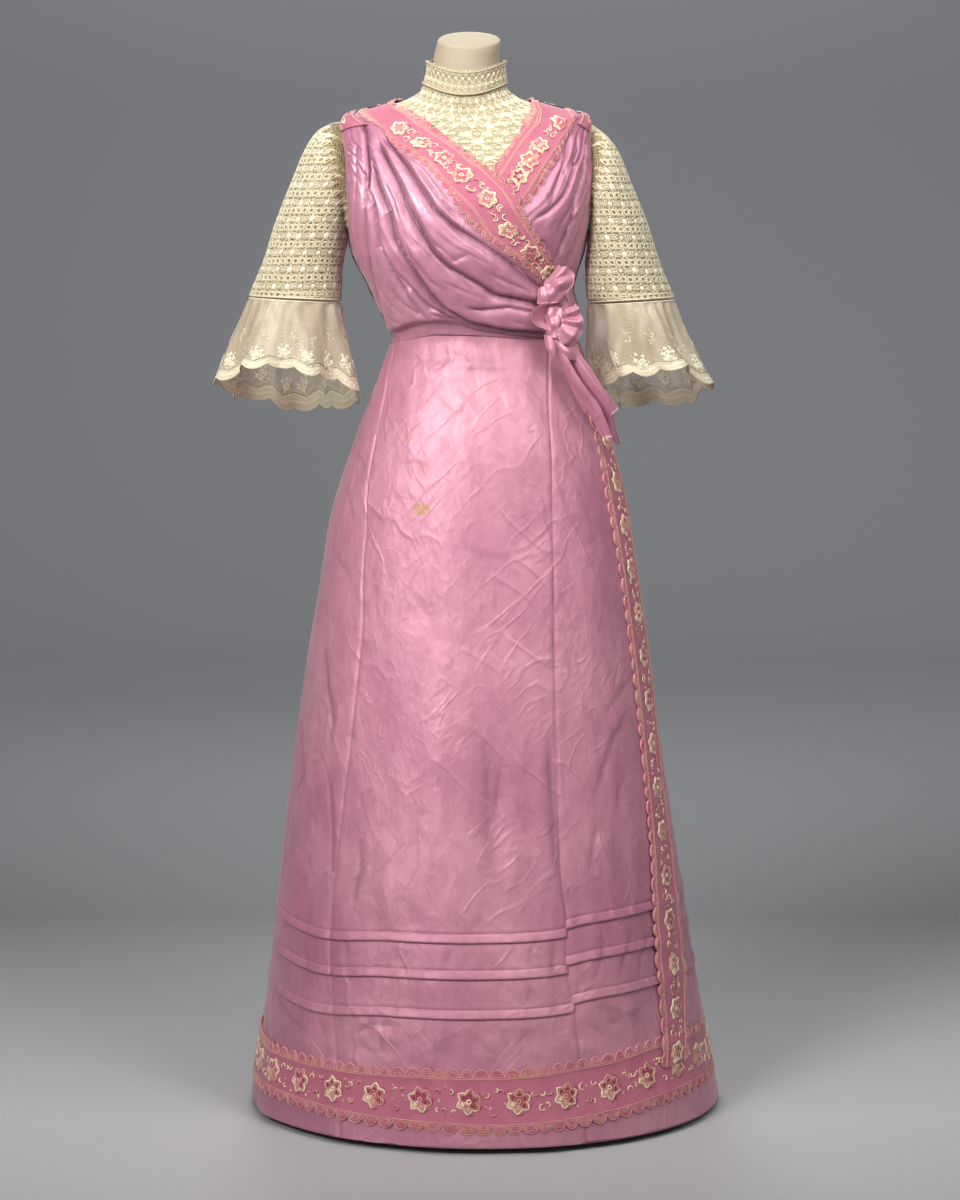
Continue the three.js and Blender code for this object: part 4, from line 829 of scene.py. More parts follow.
seams_all = (seam_a, seam_b, seam_c, seam_d)
lo180, hi180 = (lambda v: -180 + 0 * np.asarray(v, float)), (lambda v: 180 + 0 * np.asarray(v, float))
SKIRT = {
    "skirt_front": (seam_a, seam_b, 3.6, 5.0, True, None, 24.2),
    "skirt_side_left": (seam_b, seam_d, 3.9, 5.2, True, 24.5, None),
    "skirt_side_right": (seam_c, seam_a, 4.1, 5.4, True, None, None),
    "skirt_back_left": (seam_d, hi180, 6.5, 6.2, False, None, None),
    "skirt_back_right": (lo180, seam_c, 6.5, 6.2, False, None, None),
}
CUTS = {"skirt_front": (0.36, 1.03), "skirt_side_left": (0.56, 1.06), "skirt_side_right": (0.52, 1.06),
        "skirt_back_left": (0.43, 1.10), "skirt_back_right": (0.43, 1.10)}
skirt_obs = {}
for name, (l, r, sa, sv, dense, la, ha) in SKIRT.items():
    o, area = skirt_panel("cloth_" + name, l, r, sa, sv, dense, la, ha, seams_all)
    w, ln = CUTS[name]
    skirt_obs[name] = (o, area, w, ln)


# ------------------------------------------------------------------ bands
class Band:
    """maps (s along, y across, h out) in millimetres to space"""

    def __init__(self, at_o, v_o, at_i, v_i, off, n=160, closed=False):
        q = np.arange(len(at_o), dtype=float)
        f = [curve(q, c) for c in (at_o, v_o, at_i, v_i)]
        t = np.linspace(0, len(q) - 1, n)
        self.ao, self.vo, self.ai, self.vi = [g(t) for g in f]
        self.off = off
        mid = S((self.ao + self.ai) / 2, (self.vo + self.vi) / 2, 3.0)
        self.s = np.concatenate([[0], np.cumsum(np.linalg.norm(np.diff(mid, axis=0), axis=1))])
        self.length = float(self.s[-1])
        w = np.linalg.norm(S(self.ai, self.vi, 3.0) - S(self.ao, self.vo, 3.0), axis=1)
        k = np.ones(9) / 9
        self.w = np.convolve(np.pad(w, 4, mode="edge"), k, "valid")

    def at_v(self, s, y):
        s, y = np.broadcast_arrays(np.asarray(s, float), np.asarray(y, float))
        g = lambda a: np.interp(s, self.s, a)
        t = 0.5 + y / g(self.w)
        return g(self.ao) + (g(self.ai) - g(self.ao)) * t, g(self.vo) + (g(self.vi) - g(self.vo)) * t

    def __call__(self, s, y, h):
        at, v = self.at_v(s, y)
        return S(at, v, self.off(at, v) + h)

    def width(self, s):
        return np.interp(s, self.s, self.w)


def lobes(s, pitch, seed, length):
    """share of a scallop's reach at s, with uneven lobes, and the list of lobes"""
    rs = np.random.RandomState(seed)
    ends = [0.0]
    while ends[-1] < length:
        ends.append(ends[-1] + pitch * rs.uniform(0.82, 1.2))
    ends = np.array(ends) * length / ends[-1]
    i = np.clip(np.searchsorted(ends, s, side="right") - 1, 0, len(ends) - 2)
    f = (s - ends[i]) / (ends[i + 1] - ends[i])
    return np.sqrt(np.maximum(1 - (2 * f - 1) ** 2, 0)) ** 0.9, ends


def star(r_in, r_out, n, turn, per=8, ruffle=0.0):
    """outline of a flower with n pointed petals"""
    t = np.linspace(0, 2 * math.pi, n * per, endpoint=False)
    f = (t * n / (2 * math.pi)) % 1
    tip = 0.45 * np.abs(2 * f - 1) ** 1.2 + 0.55 * (0.5 + 0.5 * np.cos(2 * math.pi * f)) ** 0.75
    r = r_in + (r_out - r_in) * tip + ruffle * np.cos(3 * n * t)
    return np.stack([r * np.cos(t + turn), r * np.sin(t + turn)], -1)


def flower(heap, band, s, y, size, turn, rs, warm=False, petals=6):
    """a six-pointed flower: satin petals in a ruffled outline, with a ringed eye"""
    R = size / 2
    for k in range(petals):
        a = turn + 2 * math.pi * k / petals
        mat = K_ if math.sin(a + 0.5) > -0.35 else (C_ if k % 2 else P_)
        if warm:
            mat = R_ if k % 3 else P_
        d = R * 0.56
        dome_on(heap, band, s + d * math.cos(a), y + d * math.sin(a), R * 0.34, R * 0.25, a, 1.1, mat, 8, 0.2)
    out = star(R * 0.70, R * 1.02, petals, turn, 8, R * 0.035)
    n_o = len(out)
    cut_ = int(n_o * rs.uniform(0.55, 0.8))
    turned = np.roll(out, rs.randint(n_o), axis=0)
    strip_on(heap, band, turned[:cut_ + 1] + (s, y), 2.3, 1.8, C_, False, 0.25, 0.85 + 0.5 * rs.rand(cut_ + 1))
    strip_on(heap, band, np.concatenate([turned[cut_:], turned[:1]]) + (s, y), 2.1, 1.5, P_, False, 0.25)
    strip_on(heap, band, out * 0.78 + (s, y), 1.5, 2.2, P_ if rs.rand() < 0.7 else C_, True, 0.25)
    strip_on(heap, band, star(R * 0.34, R * 0.48, petals, turn + math.pi / petals, 3) + (s, y), 1.4, 1.6, P_ if rs.rand() < 0.6 else R_, True, 0.8)
    ring_on(heap, band, s, y, R * 0.26, R * 0.10, 8, 2.6, C_ if rs.rand() < 0.6 else P_)
    for k in range(3):                           # painted shadow: crimson threads below the outline
        a = turn - 1.9 + k * 1.0
        strip_on(heap, band, np.stack([s + R * 1.10 * np.cos(a + np.linspace(-0.3, 0.3, 5)), y + R * 1.10 * np.sin(a + np.linspace(-0.3, 0.3, 5))], -1), 1.6, 0.5, K_, False, 0.2)


def crescent(heap, band, s, y, r, a0, a1, mat, width=1.9, h=1.3, n=9):
    t = np.linspace(a0, a1, n)
    w = width * np.sin(np.linspace(0.25, math.pi - 0.25, n)) ** 0.7
    strip_on(heap, band, np.stack([s + r * np.cos(t), y + r * np.sin(t)], -1), w, h, mat, False, 0.2)


def dress_band(name, band, field, edges, flowers, seed, pitch=17.0, size=27.0, step=2.6, warm=False, sharp=0.9):
    """ground shell with scalloped edges, and its embroidery. field = half height of
    the plain field between the cords, edges = (lower, upper) scallop reach."""
    L = band.length
    ns = int(L / step) + 1
    s = np.linspace(0, L, ns)
    half = band.width(s) / 2
    lo_f, lo_e = lobes(s, pitch, seed, L)
    hi_f, hi_e = lobes(s, pitch, seed + 1, L)
    lo_y = -half + edges[0] * (1 - lo_f) * 0.85
    hi_y = half - edges[1] * (1 - hi_f) * 0.85
    fl = np.maximum(np.minimum(half - max(edges) - 1.0, field * 1.5), half * 0.45)
    ys = np.stack([lo_y, lo_y + 0.35 * (-fl - lo_y), -fl - 0.2, -fl + 1.2, -fl * 0.5, 0 * s, fl * 0.5, fl - 1.2, fl + 0.2, fl + 0.65 * (hi_y - fl), hi_y])
    hs = np.array([-0.3, 0.3, 0.4, 0.1, 0, 0, 0, 0.1, 0.4, 0.3, -0.3])[:, None] + 0 * ys
    hs = hs + 0.4 * noise(s[None, :] + 0 * ys, ys, (14, 9), seed + 2)
    P = band(s[None, :] + 0 * ys, ys, hs)
    rim0, rim1 = band(s, lo_y, -1.2 + 0 * s), band(s, hi_y, -1.2 + 0 * s)
    P = np.concatenate([rim0[None], P, rim1[None]])
    fm = np.full((P.shape[0] - 1, ns - 1), 0)
    fm[:3], fm[-3:] = 1, 1
    ground = mesh_object(name, P.reshape(-1, 3), grid_faces(P.shape[0], ns), [M_GROUND, M_EDGE], fm.ravel())
    heap = Heap()
    rs = np.random.RandomState(seed + 5)
    t = np.arange(0, L, 2.4)
    rope = 1 + 0.3 * np.sin(t * 1.9)
    f_t = np.interp(t, s, fl)
    for sg in (-1, 1):
        strip_on(heap, band, np.stack([t, sg * (f_t + 0.3)], -1), 1.2, 1.1, P_, False, 0.4, rope)
        strip_on(heap, band, np.stack([t, sg * (f_t + 2.4)], -1), 1.0, 0.9, P_, False, 0.3)
    for ends, sg, reach in ((lo_e, -1, edges[0]), (hi_e, 1, edges[1])):
        for a, b in zip(ends[:-1], ends[1:]):
            m, r = (a + b) / 2, (b - a) / 2
            hw = float(band.width(m)) / 2
            base = hw - reach
            for q, wd, mt in ((0.95, 1.2, P_), (0.70, 1.0, P_ if rs.rand() < 0.7 else R_), (0.45, 0.9, P_ if rs.rand() < 0.5 else R_)):
                u = np.linspace(0.08, math.pi - 0.08, 8)
                yy = base + reach * q * np.sin(u) ** sharp - 0.3
                strip_on(heap, band, np.stack([m + r * q * np.cos(u), sg * yy], -1), wd, 0.9, mt, False, 0.15, 1 + 0.4 * rs.rand(8))
            for k in (-0.45, 0.45):
                ring_on(heap, band, m + k * r, sg * (base + reach * 0.3), 1.5, 0.6, 6, 0.8, P_)
    for i, (fs, fy, sc) in enumerate(flowers):
        flower(heap, band, fs, fy, size * sc, rs.uniform(-0.35, 0.35) + 0.5, rs, warm and rs.rand() < 0.75)
    fpos = sorted(f[0] for f in flowers)
    for a, b in zip(fpos[:-1], fpos[1:]):         # curls between the flowers
        gap = (b - a)
        if gap < size * 0.9:
            continue
        m = (a + b) / 2
        for k in range(3):
            cs = m + (k - 1) * gap * 0.13 + rs.uniform(-1.5, 1.5)
            cy = ((-1) ** k) * rs.uniform(0.34, 0.56) * field
            r = rs.uniform(2.9, 4.2)
            a0 = rs.uniform(0, 2 * math.pi)
            # painted shadow: a crimson crescent set just below and beside each curl
            crescent(heap, band, cs + 1.0, cy - 1.1, r * 0.98, a0 + 0.2, a0 + 3.3, K_, 1.9, 0.6)
            crescent(heap, band, cs, cy, r, a0, a0 + 3.7, C_ if rs.rand() < 0.6 else P_, 1.8, 1.5)
            if rs.rand() < 0.8:
                crescent(heap, band, cs + rs.uniform(-4, 4), -cy * rs.uniform(0.7, 1.2), r * 0.8, a0 + 2, a0 + 5.6, C_ if rs.rand() < 0.6 else P_, 1.9, 1.5)
        for _ in range(3):
            ring_on(heap, band, m + rs.uniform(-0.3, 0.3) * gap, rs.uniform(-0.75, 0.75) * field, 1.7, 0.6, 7, 1.2, P_ if rs.rand() < 0.5 else C_)
    threads = extra(heap.build(name + "_threads", TRIMS))
    return ground, threads, surf_area(P), L


def skirt_base(at, v):
    return 1.9 + 0 * at


# hem band
hat = np.linspace(-180, 180, 73)
hem_band = Band(hat, hem_lo(hat), hat, hem_hi(hat), lambda at, v: 2.5 + 0 * at, n=720)
hs_pitch = hem_band.length / round(hem_band.length / 63.0)


def s_of_at(band, a):
    return float(np.interp(a, (band.ao + band.ai) / 2, band.s))


HEM_AT = [-39.5]
hem_flowers = []
s0 = s_of_at(hem_band, -27.4)
k0 = int(s0 // hs_pitch)
for i in range(-k0 - 1, int(hem_band.length / hs_pitch) + 1):
    q = s0 + i * hs_pitch
    if 20 < q < hem_band.length - 20:
        hem_flowers.append((q, 0.0, 1.0))
hem_obj, hem_thr, hem_area, hem_len = dress_band("embroidery_hem", hem_band, 24.0, (12.5, 12.5), hem_flowers, 21, pitch=19.0, size=31.0, step=3.0)

# side band
SIDE = table("v at_f at_b", [
    (84, 49.5, 62.5), (143, 52.8, 68), (209, 53.8, 72.5), (289, 55.8, 74.5), (351, 58.2, 76.5), (422, 59.6, 78),
    (484, 60.6, 80), (568, 61.2, 83.5), (683, 61, 84.5), (745, 60, 83), (810, 59, 86), (887, 61, 86), (950, 63.5, 88), (1009, 67, 89)])


def side_off(at, v):
    o = 2.9 + 2.2 * sm(128, 112, v)
    for t in TUCK_V:
        o = o + 1.6 * np.exp(-((v - t - 21) / 12) ** 2)
    return o


side_band = Band(SIDE["at_f"], SIDE["v"], SIDE["at_b"], SIDE["v"], side_off, n=420)
side_flowers, q = [], 16.0
while q < side_band.length - 20:
    side_flowers.append((q, 0.0, 0.93))
    q += 57.5
side_obj, side_thr, side_area, side_len = dress_band("embroidery_side", side_band, 20.0, (11.0, 11.0), side_flowers, 31, pitch=21.0, size=30.0, step=3.0)

for name, (o, area, w, ln) in skirt_obs.items():
    done(o, [name], held="gathered", area=min(area, w * ln))
done(hem_obj, ["trim_hem"], held="draped", area=min(hem_area, hem_len / 1000 * 0.084))
done(side_obj, ["trim_side"], held="draped", area=min(side_area, side_len / 1000 * 0.084))

# ------------------------------------------------------------------ bodice
CROSS_OUT = 5.2
BAND_R = table("at_out v_out at_in v_in", [
    (-92, 1309.5, -92, 1323), (-60, 1305, -67, 1321), (-41.2, 1298, -45.5, 1320), (-35.9, 1289, -26.4, 1314),
    (-32.3, 1277, -15.5, 1307.5), (-25.3, 1265, -5.7, 1293), (-16.5, 1244, -1, 1277), (-11.9, 1226, 2.6, 1258),
    (-7.1, 1203, 7.9, 1241), (-1.9, 1174, 18.1, 1213), (4.8, 1150, 24.8, 1176), (15.5, 1130, 31.6, 1154),
    (25.7, 1113, 39.6, 1132), (37.9, 1095, 48.3, 1114), (46, 1082, 54, 1096)])
BAND_R_LOW = [(47.5, 1052, 57, 1056), (46, 1022, 55, 1017.5)]
BAND_L = table("at_out v_out at_in v_in", [
    (92, 1309.5, 92, 1325), (68, 1305, 70, 1323), (55.2, 1294, 54.3, 1319), (47.3, 1272, 29.7, 1310),
    (42.8, 1253, 18.6, 1291), (37.2, 1236, 14.2, 1271), (33.4, 1217, 10, 1253), (27.9, 1197, 7.1, 1234),
    (19, 1176, 3, 1212), (13, 1160, 1, 1194)])
BAND_L_LOW = [(18, 1120, 6, 1130), (22, 1085, 9, 1090), (25, 1052, 12, 1052), (28, 1021, 15, 1024)]
ARM = table("side v", [(0, 1147), (8, 1151), (14, 1159), (16.5, 1180), (15.5, 1210), (13, 1240), (10, 1268), (5, 1292), (0, 1302.5)])
ARM_B = table("side v", [(0, 1147), (7, 1149), (12, 1160), (14, 1185), (13.5, 1215), (11.5, 1245), (9, 1272), (5, 1294), (0, 1302.5)])

band_r_full = {c: np.concatenate([BAND_R[c], [r[i] for r in BAND_R_LOW]]) for i, c in enumerate(("at_out", "v_out", "at_in", "v_in"))}
band_l_full = {c: np.concatenate([BAND_L[c], [r[i] for r in BAND_L_LOW]]) for i, c in enumerate(("at_out", "v_out", "at_in", "v_in"))}
edge_r = curve(band_r_full["v_out"][::-1], band_r_full["at_out"][::-1])      # right band's outer edge, degrees by height
edge_l = curve(band_l_full["v_out"][::-1], band_l_full["at_out"][::-1])

# drape of the right front: depth, half width each side, taper, line
DRAPE = [
    (11.0, 9, 13, 0.10, [(-58, 1304), (-55.5, 1300), (-50.8, 1290), (-49.5, 1272), (-49.0, 1252), (-49, 1226), (-50, 1205)]),
    (7.0, 13, 8, 0.15, [(-49, 1262), (-51.4, 1219), (-52, 1170), (-53.9, 1125), (-61, 1092), (-70, 1050), (-75, 1029)]),
    (6.0, 12, 9, 0.2, [(-63.3, 1289), (-67, 1250), (-68.6, 1214), (-70.4, 1147), (-69.8, 1103), (-76, 1060)]),
    (4.0, 9, 10, 0.25, [(-56, 1290), (-59, 1250), (-60.5, 1200), (-62, 1150), (-64, 1110)]),
    (3.2, 8, 9, 0.3, [(-76, 1230), (-79, 1180), (-82, 1120), (-84, 1060)]),
    (11.0, 19, 9, 0.08, [(-46.6, 1262), (-42.4, 1220), (-35.6, 1181), (-33.4, 1147), (-27.3, 1114), (-23.9, 1090), (-16.7, 1059), (-5.8, 1042), (14.1, 1031), (38.6, 1027), (50, 1026)]),
    (10.5, 20, 9, 0.08, [(-42.4, 1290), (-35.4, 1249), (-29.1, 1217), (-25.9, 1188), (-20.4, 1161), (-14, 1129), (-8.3, 1113), (0.7, 1097), (11.5, 1077), (35.1, 1064), (50, 1060)]),
    (10.5, 18, 9, 0.06, [(-38.3, 1298), (-34.2, 1281), (-24.9, 1243), (-18.5, 1212), (-12.9, 1184), (-6.1, 1165), (1.2, 1149), (10.6, 1132), (22.6, 1112), (37, 1089), (48, 1078)]),
    (5.5, 8, 6, 0.2, [(-22, 1250), (-20, 1239), (-13.9, 1212), (-6.8, 1184), (-2.5, 1165)]),
    (2.6, 6, 9, 0.4, [(-9.5, 1115), (-4, 1122), (2.3, 1130)]),
    (6.0, 10, 7, 0.2, [(-45, 1160), (-42.7, 1129), (-40.3, 1104), (-36.6, 1080), (-32.7, 1053), (-28, 1040)]),
    (6.0, 11, 7, 0.15, [(-8, 1064), (1.5, 1059), (15.5, 1062), (34.6, 1052), (50, 1048)]),
    (7.0, 13, 8, 0.12, [(-30, 1056), (-20, 1049), (-12.9, 1047), (6.1, 1035), (37, 1026), (50, 1024)]),
    (3.4, 8, 8, 0.3, [(-50, 1092), (-42.8, 1070), (-34.9, 1053), (-27, 1046)]),
    (8.0, 14, 8, 0.12, [(-45.5, 1210), (-44, 1137), (-38.8, 1104), (-31.3, 1082), (-25.3, 1062), (-16.7, 1050), (-4, 1034)]),
    (2.6, 7, 7, 0.3, [(-30, 1150), (-25, 1120), (-19, 1096), (-10, 1076)]),
    (2.4, 6, 8, 0.3, [(-15, 1100), (-4, 1084), (10, 1068), (24, 1062)]),
    (2.4, 6, 7, 0.3, [(6, 1108), (18, 1094), (34, 1078)]),
    (2.2, 6, 7, 0.3, [(-29, 1250), (-23, 1215), (-18, 1186), (-12, 1160)]),
    (2.4, 7, 7, 0.3, [(-38, 1222), (-33, 1196), (-30, 1168)]),
    (1.8, 5, 6, 0.4, [(-6, 1138), (2, 1126), (12, 1112)]),
    (2.4, 7, 8, 0.3, [(-60, 1090), (-52, 1062), (-44, 1046)]),
    (2.2, 7, 8, 0.3, [(-70, 1070), (-62, 1046), (-52, 1034)]),
    (1.8, 5, 5, 0.4, [(10, 1048), (24, 1040), (40, 1038)]),
    (2.0, 6, 6, 0.3, [(-84, 1100), (-80, 1060), (-76, 1034)]),
]
LEFT_FOLDS = [
    (5.5, 9, 8, 0.2, [(54, 1298), (52.5, 1288), (48.7, 1256), (44, 1233), (37.4, 1193)]),
    (2.4, 6, 7, 0.4, [(35, 1207), (40, 1190)]), (2.4, 7, 6, 0.4, [(42, 1212), (39, 1198), (36, 1186)]),
    (6.5, 11, 9, 0.15, [(69.4, 1284), (64.8, 1237), (56.5, 1202), (53.3, 1170), (48.5, 1131), (44, 1100)]),
    (5.5, 10, 8, 0.2, [(74, 1262), (70.7, 1237), (69.7, 1192), (62.8, 1159), (58.4, 1125), (53, 1092)]),
    (4.6, 9, 7, 0.2, [(27.3, 1170), (35.9, 1179), (46.6, 1202), (53.4, 1234), (54.8, 1263)]),
    (2.6, 7, 7, 0.4, [(41.4, 1250), (46.9, 1235), (40.1, 1223)]),
    (3.0, 9, 9, 0.3, [(28, 1150), (38, 1140), (50, 1120), (54, 1098)]),
    (3.4, 9, 9, 0.3, [(78, 1220), (77, 1160), (72, 1100), (66, 1050)]),
    (3.0, 9, 9, 0.3, [(86, 1140), (84, 1090), (78, 1040)]), (2.6, 8, 8, 0.3, [(60, 1290), (58, 1262), (52, 1238)]),
    (3.0, 9, 9, 0.3, [(63, 1090), (62, 1060), (58, 1030)]), (2.6, 8, 8, 0.3, [(56, 1210), (50, 1182), (44, 1164)]),
]
BACK_FOLDS = [
    (3.2, 10, 12, 0.3, [(104, 1250), (104, 1150), (110, 1060), (114, 1018)]),
    (3.0, 10, 10, 0.3, [(122, 1270), (124, 1160), (126, 1060), (128, 1016)]),
    (3.4, 12, 10, 0.3, [(141, 1240), (143, 1140), (144, 1050), (146, 1016)]),
    (2.8, 10, 12, 0.3, [(160, 1200), (161, 1110), (162, 1040), (162, 1016)]),
    (2.4, 8, 8, 0.3, [(116, 1120), (119, 1060), (121, 1020)]), (2.2, 8, 8, 0.3, [(134, 1110), (136, 1050), (138, 1018)]),
    (2.2, 8, 8, 0.3, [(152, 1100), (153, 1050), (154, 1018)]), (2.0, 8, 8, 0.3, [(172, 1120), (171, 1060), (171, 1018)]),
    (2.4, 12, 8, 0.3, [(98, 1180), (112, 1168), (130, 1172)]), (2.0, 9, 9, 0.3, [(110, 1220), (128, 1208), (150, 1214)]),
    (2.0, 8, 9, 0.3, [(96, 1100), (106, 1082), (116, 1078)]),
]
mirror = lambda fs: [(d * s, b, a, t, [(-q[0], q[1] + dv) for q in ln]) for (d, a, b, t, ln), s, dv in
                     zip(fs, (1.1, 0.8, 1.0, 1.15, 0.9, 1.2, 0.8, 1.1, 0.8, 1.2, 1.0), (6, -8, 4, -5, 10, -6, 8, 3, -9, 7, -4))]


def bodice_noise(at, v, seed):
    u = at * 2.6
    return 0.8 * noise(u, v, (42, 60), seed) + 0.45 * noise(u, v, (17, 24), seed + 1) + 0.22 * noise(u, v, (8, 10), seed + 2)


def right_off(at, v):
    """silk of the right front above the body surface"""
    e = edge_r(v)
    k = mm_per_deg(v)
    calm = sm(0, 9, (e - at) * k) * sm(1299, 1282, v)          # folds die into the band and shoulder
    base = CROSS_OUT * sm(-38, -8, at)
    full = 6.8 * sm(-88, -60, at) * sm(1300, 1262, v) * sm(0, 12, (e - at) * k)
    low = sm(0, 10, v - blouse(at))
    pull = (e - at) * k * (0.42 + 0.58 * sm(1030, 1200, v))     # pulls that run with the drape
    full = full + 1.15 * noise(pull, v, (8.5, 95), 61) + 0.7 * noise(pull, v, (4.6, 50), 62)
    o = 1.0 + base + (full + bodice_noise(at, v, 40)) * calm - fold_field(at, v, DRAPE) * np.maximum(calm, 0.75 * sm(1303, 1296, v) * sm(0, 9, (e - at) * k))
    return o * low + (1 - low) * (-1.4 + base * 0.6)


def left_off(at, v):
    e = edge_l(v)
    k = mm_per_deg(v)
    calm = sm(0, 9, (at - e) * k) * sm(1299, 1282, v)
    full = 4.2 * sm(88, 66, at) * sm(1296, 1250, v) * sm(0, 14, (at - e) * k)
    low = sm(0, 10, v - blouse(at))
    pull = (at - e) * k * (0.5 + 0.5 * sm(1030, 1200, v))
    full = full + 1.0 * noise(pull, v, (8.0, 80), 63) + 0.6 * noise(pull, v, (4.4, 45), 64)
    o = 1.0 + (full + bodice_noise(at, v, 50) - fold_field(at, v, LEFT_FOLDS)) * calm
    return o * low + (1 - low) * (-1.6)


def back_off(at, v, folds, seed):
    low = sm(0, 9, v - blouse(at))
    calm = sm(1300, 1270, v)
    o = 1.2 + (1.6 + bodice_noise(at, v, seed) - fold_field(at, v, folds)) * calm
    return o * low + (1 - low) * (-1.6)


def along(pts, n, smooth_it=True):
    P = np.array(pts, float)
    ln = np.concatenate([[0], np.cumsum(np.hypot(np.diff(P[:, 0]) * 2.2, np.diff(P[:, 1])))])
    q = np.linspace(0, ln[-1], n) if np.isscalar(n) else np.asarray(n) * ln[-1]
    return np.stack([curve(ln, P[:, 0])(q), curve(ln, P[:, 1])(q)], -1) if smooth_it else np.stack([np.interp(q, ln, P[:, 0]), np.interp(q, ln, P[:, 1])], -1)


def coons(left, right, bottom, top, ni, nj):
    L, R, B, T = along(left, nj, False), along(right, nj), along(bottom, ni), along(top, ni)
    u, w = np.linspace(0, 1, ni)[None, :, None], np.linspace(0, 1, nj)[:, None, None]
    return ((1 - u) * L[:, None] + u * R[:, None] + (1 - w) * B[None] + w * T[None]
            - (1 - u) * (1 - w) * L[0] - u * (1 - w) * R[0] - (1 - u) * w * L[-1] - u * w * R[-1])


def edge_line(a, b, n, f):
    at = np.linspace(a, b, n)
    return np.stack([at, f(at)], -1)


arm_r = [(-90 + s + 0.6, v) for s, v in zip(ARM["side"][1:-1], ARM["v"][1:-1])]
arm_l = [(90 - s - 0.6, v) for s, v in zip(ARM["side"][1:-1], ARM["v"][1:-1])]
mid_r = np.stack([(band_r_full["at_out"] * 0.6 + band_r_full["at_in"] * 0.4), (band_r_full["v_out"] * 0.6 + band_r_full["v_in"] * 0.4)], -1)[::-1]
mid_l = np.stack([(band_l_full["at_out"] * 0.6 + band_l_full["at_in"] * 0.4), (band_l_full["v_out"] * 0.6 + band_l_full["v_in"] * 0.4)], -1)[::-1]

G = coons([(-89.9, float(blouse(-90)))] + [(-89.9, 1146.4)] + arm_r + [(-90.2, 1302.5)], mid_r,
          edge_line(-89.9, mid_r[0][0], 40, blouse), [(-90.2, 1302.5), tuple(mid_r[-1])], 152, 212)
P = S(G[..., 0], G[..., 1], right_off(G[..., 0], G[..., 1]))
# painted shade: darker silk in the troughs of the right front's drape folds
shade_depth = 0.11 * np.clip(fold_field(G[..., 0], G[..., 1], DRAPE) - 0.6, 0, 9)
fr = grid_object("cloth_front_right", P, [M_SILK_BODICE], uv=np.stack([G[..., 0] * 2.6, G[..., 1]], -1), shade_depth=shade_depth)
fr_area = surf_area(P)
G = coons(mid_l, [(89.9, float(blouse(90)))] + [(89.9, 1146.4)] + arm_l + [(90.2, 1302.5)],
          edge_line(mid_l[0][0], 89.9, 40, blouse), [tuple(mid_l[-1]), (90.2, 1302.5)], 90, 150)
P = S(G[..., 0], G[..., 1], left_off(G[..., 0], G[..., 1]))
# painted shade: darker silk in the troughs of the left front's folds
shade_depth = 0.10 * np.clip(fold_field(G[..., 0], G[..., 1], LEFT_FOLDS) - 0.8, 0, 9)
fl_ = grid_object("cloth_front_left", P, [M_SILK_BODICE], uv=np.stack([G[..., 0] * 2.6, G[..., 1]], -1), shade_depth=shade_depth)
fl_area = surf_area(P)


def back(name, side, folds, seed):
    sideline = [(90.4, float(blouse(90))), (90.4, 1146.4)] + [(90 + s - 0.2, v) for s, v in zip(ARM_B["side"][1:-1], ARM_B["v"][1:-1])] + [(91, 1302.5)]
    mid = [(179.95, float(blouse(180))), (179.95, 1200), (179.95, 1306)]
    neck = [(91, 1302.5), (92, 1322), (112, 1321), (135, 1315), (158, 1307.5), (179.95, 1304)]
    low = [(a, float(blouse(a))) for a in np.linspace(90.4, 179.95, 12)]
    if side > 0:
        G = coons(sideline, mid, low, neck, 90, 130)
    else:
        f = lambda q: [(-a, v) for a, v in q]
        G = coons(f(mid), f(sideline), f(low)[::-1], f(neck)[::-1], 90, 130)
    P = S(G[..., 0], G[..., 1], back_off(G[..., 0], G[..., 1], folds, seed))
    return grid_object(name, P, [M_SILK_BODICE], uv=np.stack([G[..., 0] * 2.6, G[..., 1]], -1)), surf_area(P)


bl, bl_area = back("cloth_back_left", 1, BACK_FOLDS, 60)
br, br_area = back("cloth_back_right", -1, mirror(BACK_FOLDS), 70)

# waistband under the blouse
at = np.linspace(-180, 180, 181)
wb_rows = np.linspace(0, 1, 14)[:, None]
v = waist(at)[None, :] + 0.3 + (1046 - waist(at)[None, :]) * wb_rows
wb_fold = 1.1 * noise(at[None, :] * 2.4 + 0 * v, v, (34, 6), 81) + 0.4 * noise(at[None, :] * 2.4 + 0 * v, v, (9, 5), 82)
P = S(at[None, :] + 0 * v, v, -1.3 + wb_fold * sm(0, 0.2, wb_rows) + 0 * v)
wb = grid_object("cloth_waistband", P[:, :-1], [M_SILK_BODICE], ringed=True)
done(wb, ["waistband"], held="stretched", area=min(surf_area(P), 0.0295))

done(fr, ["bodice_front_right"], held="gathered", area=min(fr_area * 0.97, 0.36 * 0.42))
done(fl_, ["bodice_front_left"], held="gathered", area=min(fl_area * 0.97, 0.22 * 0.36))
done(bl, ["bodice_back_left"], held="gathered", area=min(bl_area * 0.97, 0.23 * 0.34))
done(br, ["bodice_back_right"], held="gathered", area=min(br_area * 0.97, 0.23 * 0.34))

# neck bands
rb = Band(BAND_R["at_out"], BAND_R["v_out"], BAND_R["at_in"], BAND_R["v_in"],
          lambda at, v: 1.9 + CROSS_OUT * sm(-38, -8, at), n=240)
lb = Band(BAND_L["at_out"], BAND_L["v_out"], BAND_L["at_in"], BAND_L["v_in"], lambda at, v: 1.9 + 0 * at, n=180)


def band_at(band, a_out, v_out):
    """distance along the band of the point nearest a place given by its middle"""
    am, vm = (band.ao + band.ai) / 2, (band.vo + band.vi) / 2
    k = np.argmin(((am - a_out) * 2.3) ** 2 + (vm - v_out) ** 2)
    return float(band.s[k])


def place_flowers(band, centres, scale):
    return [(band_at(band, a, v), 0.0, scale) for a, v in centres]


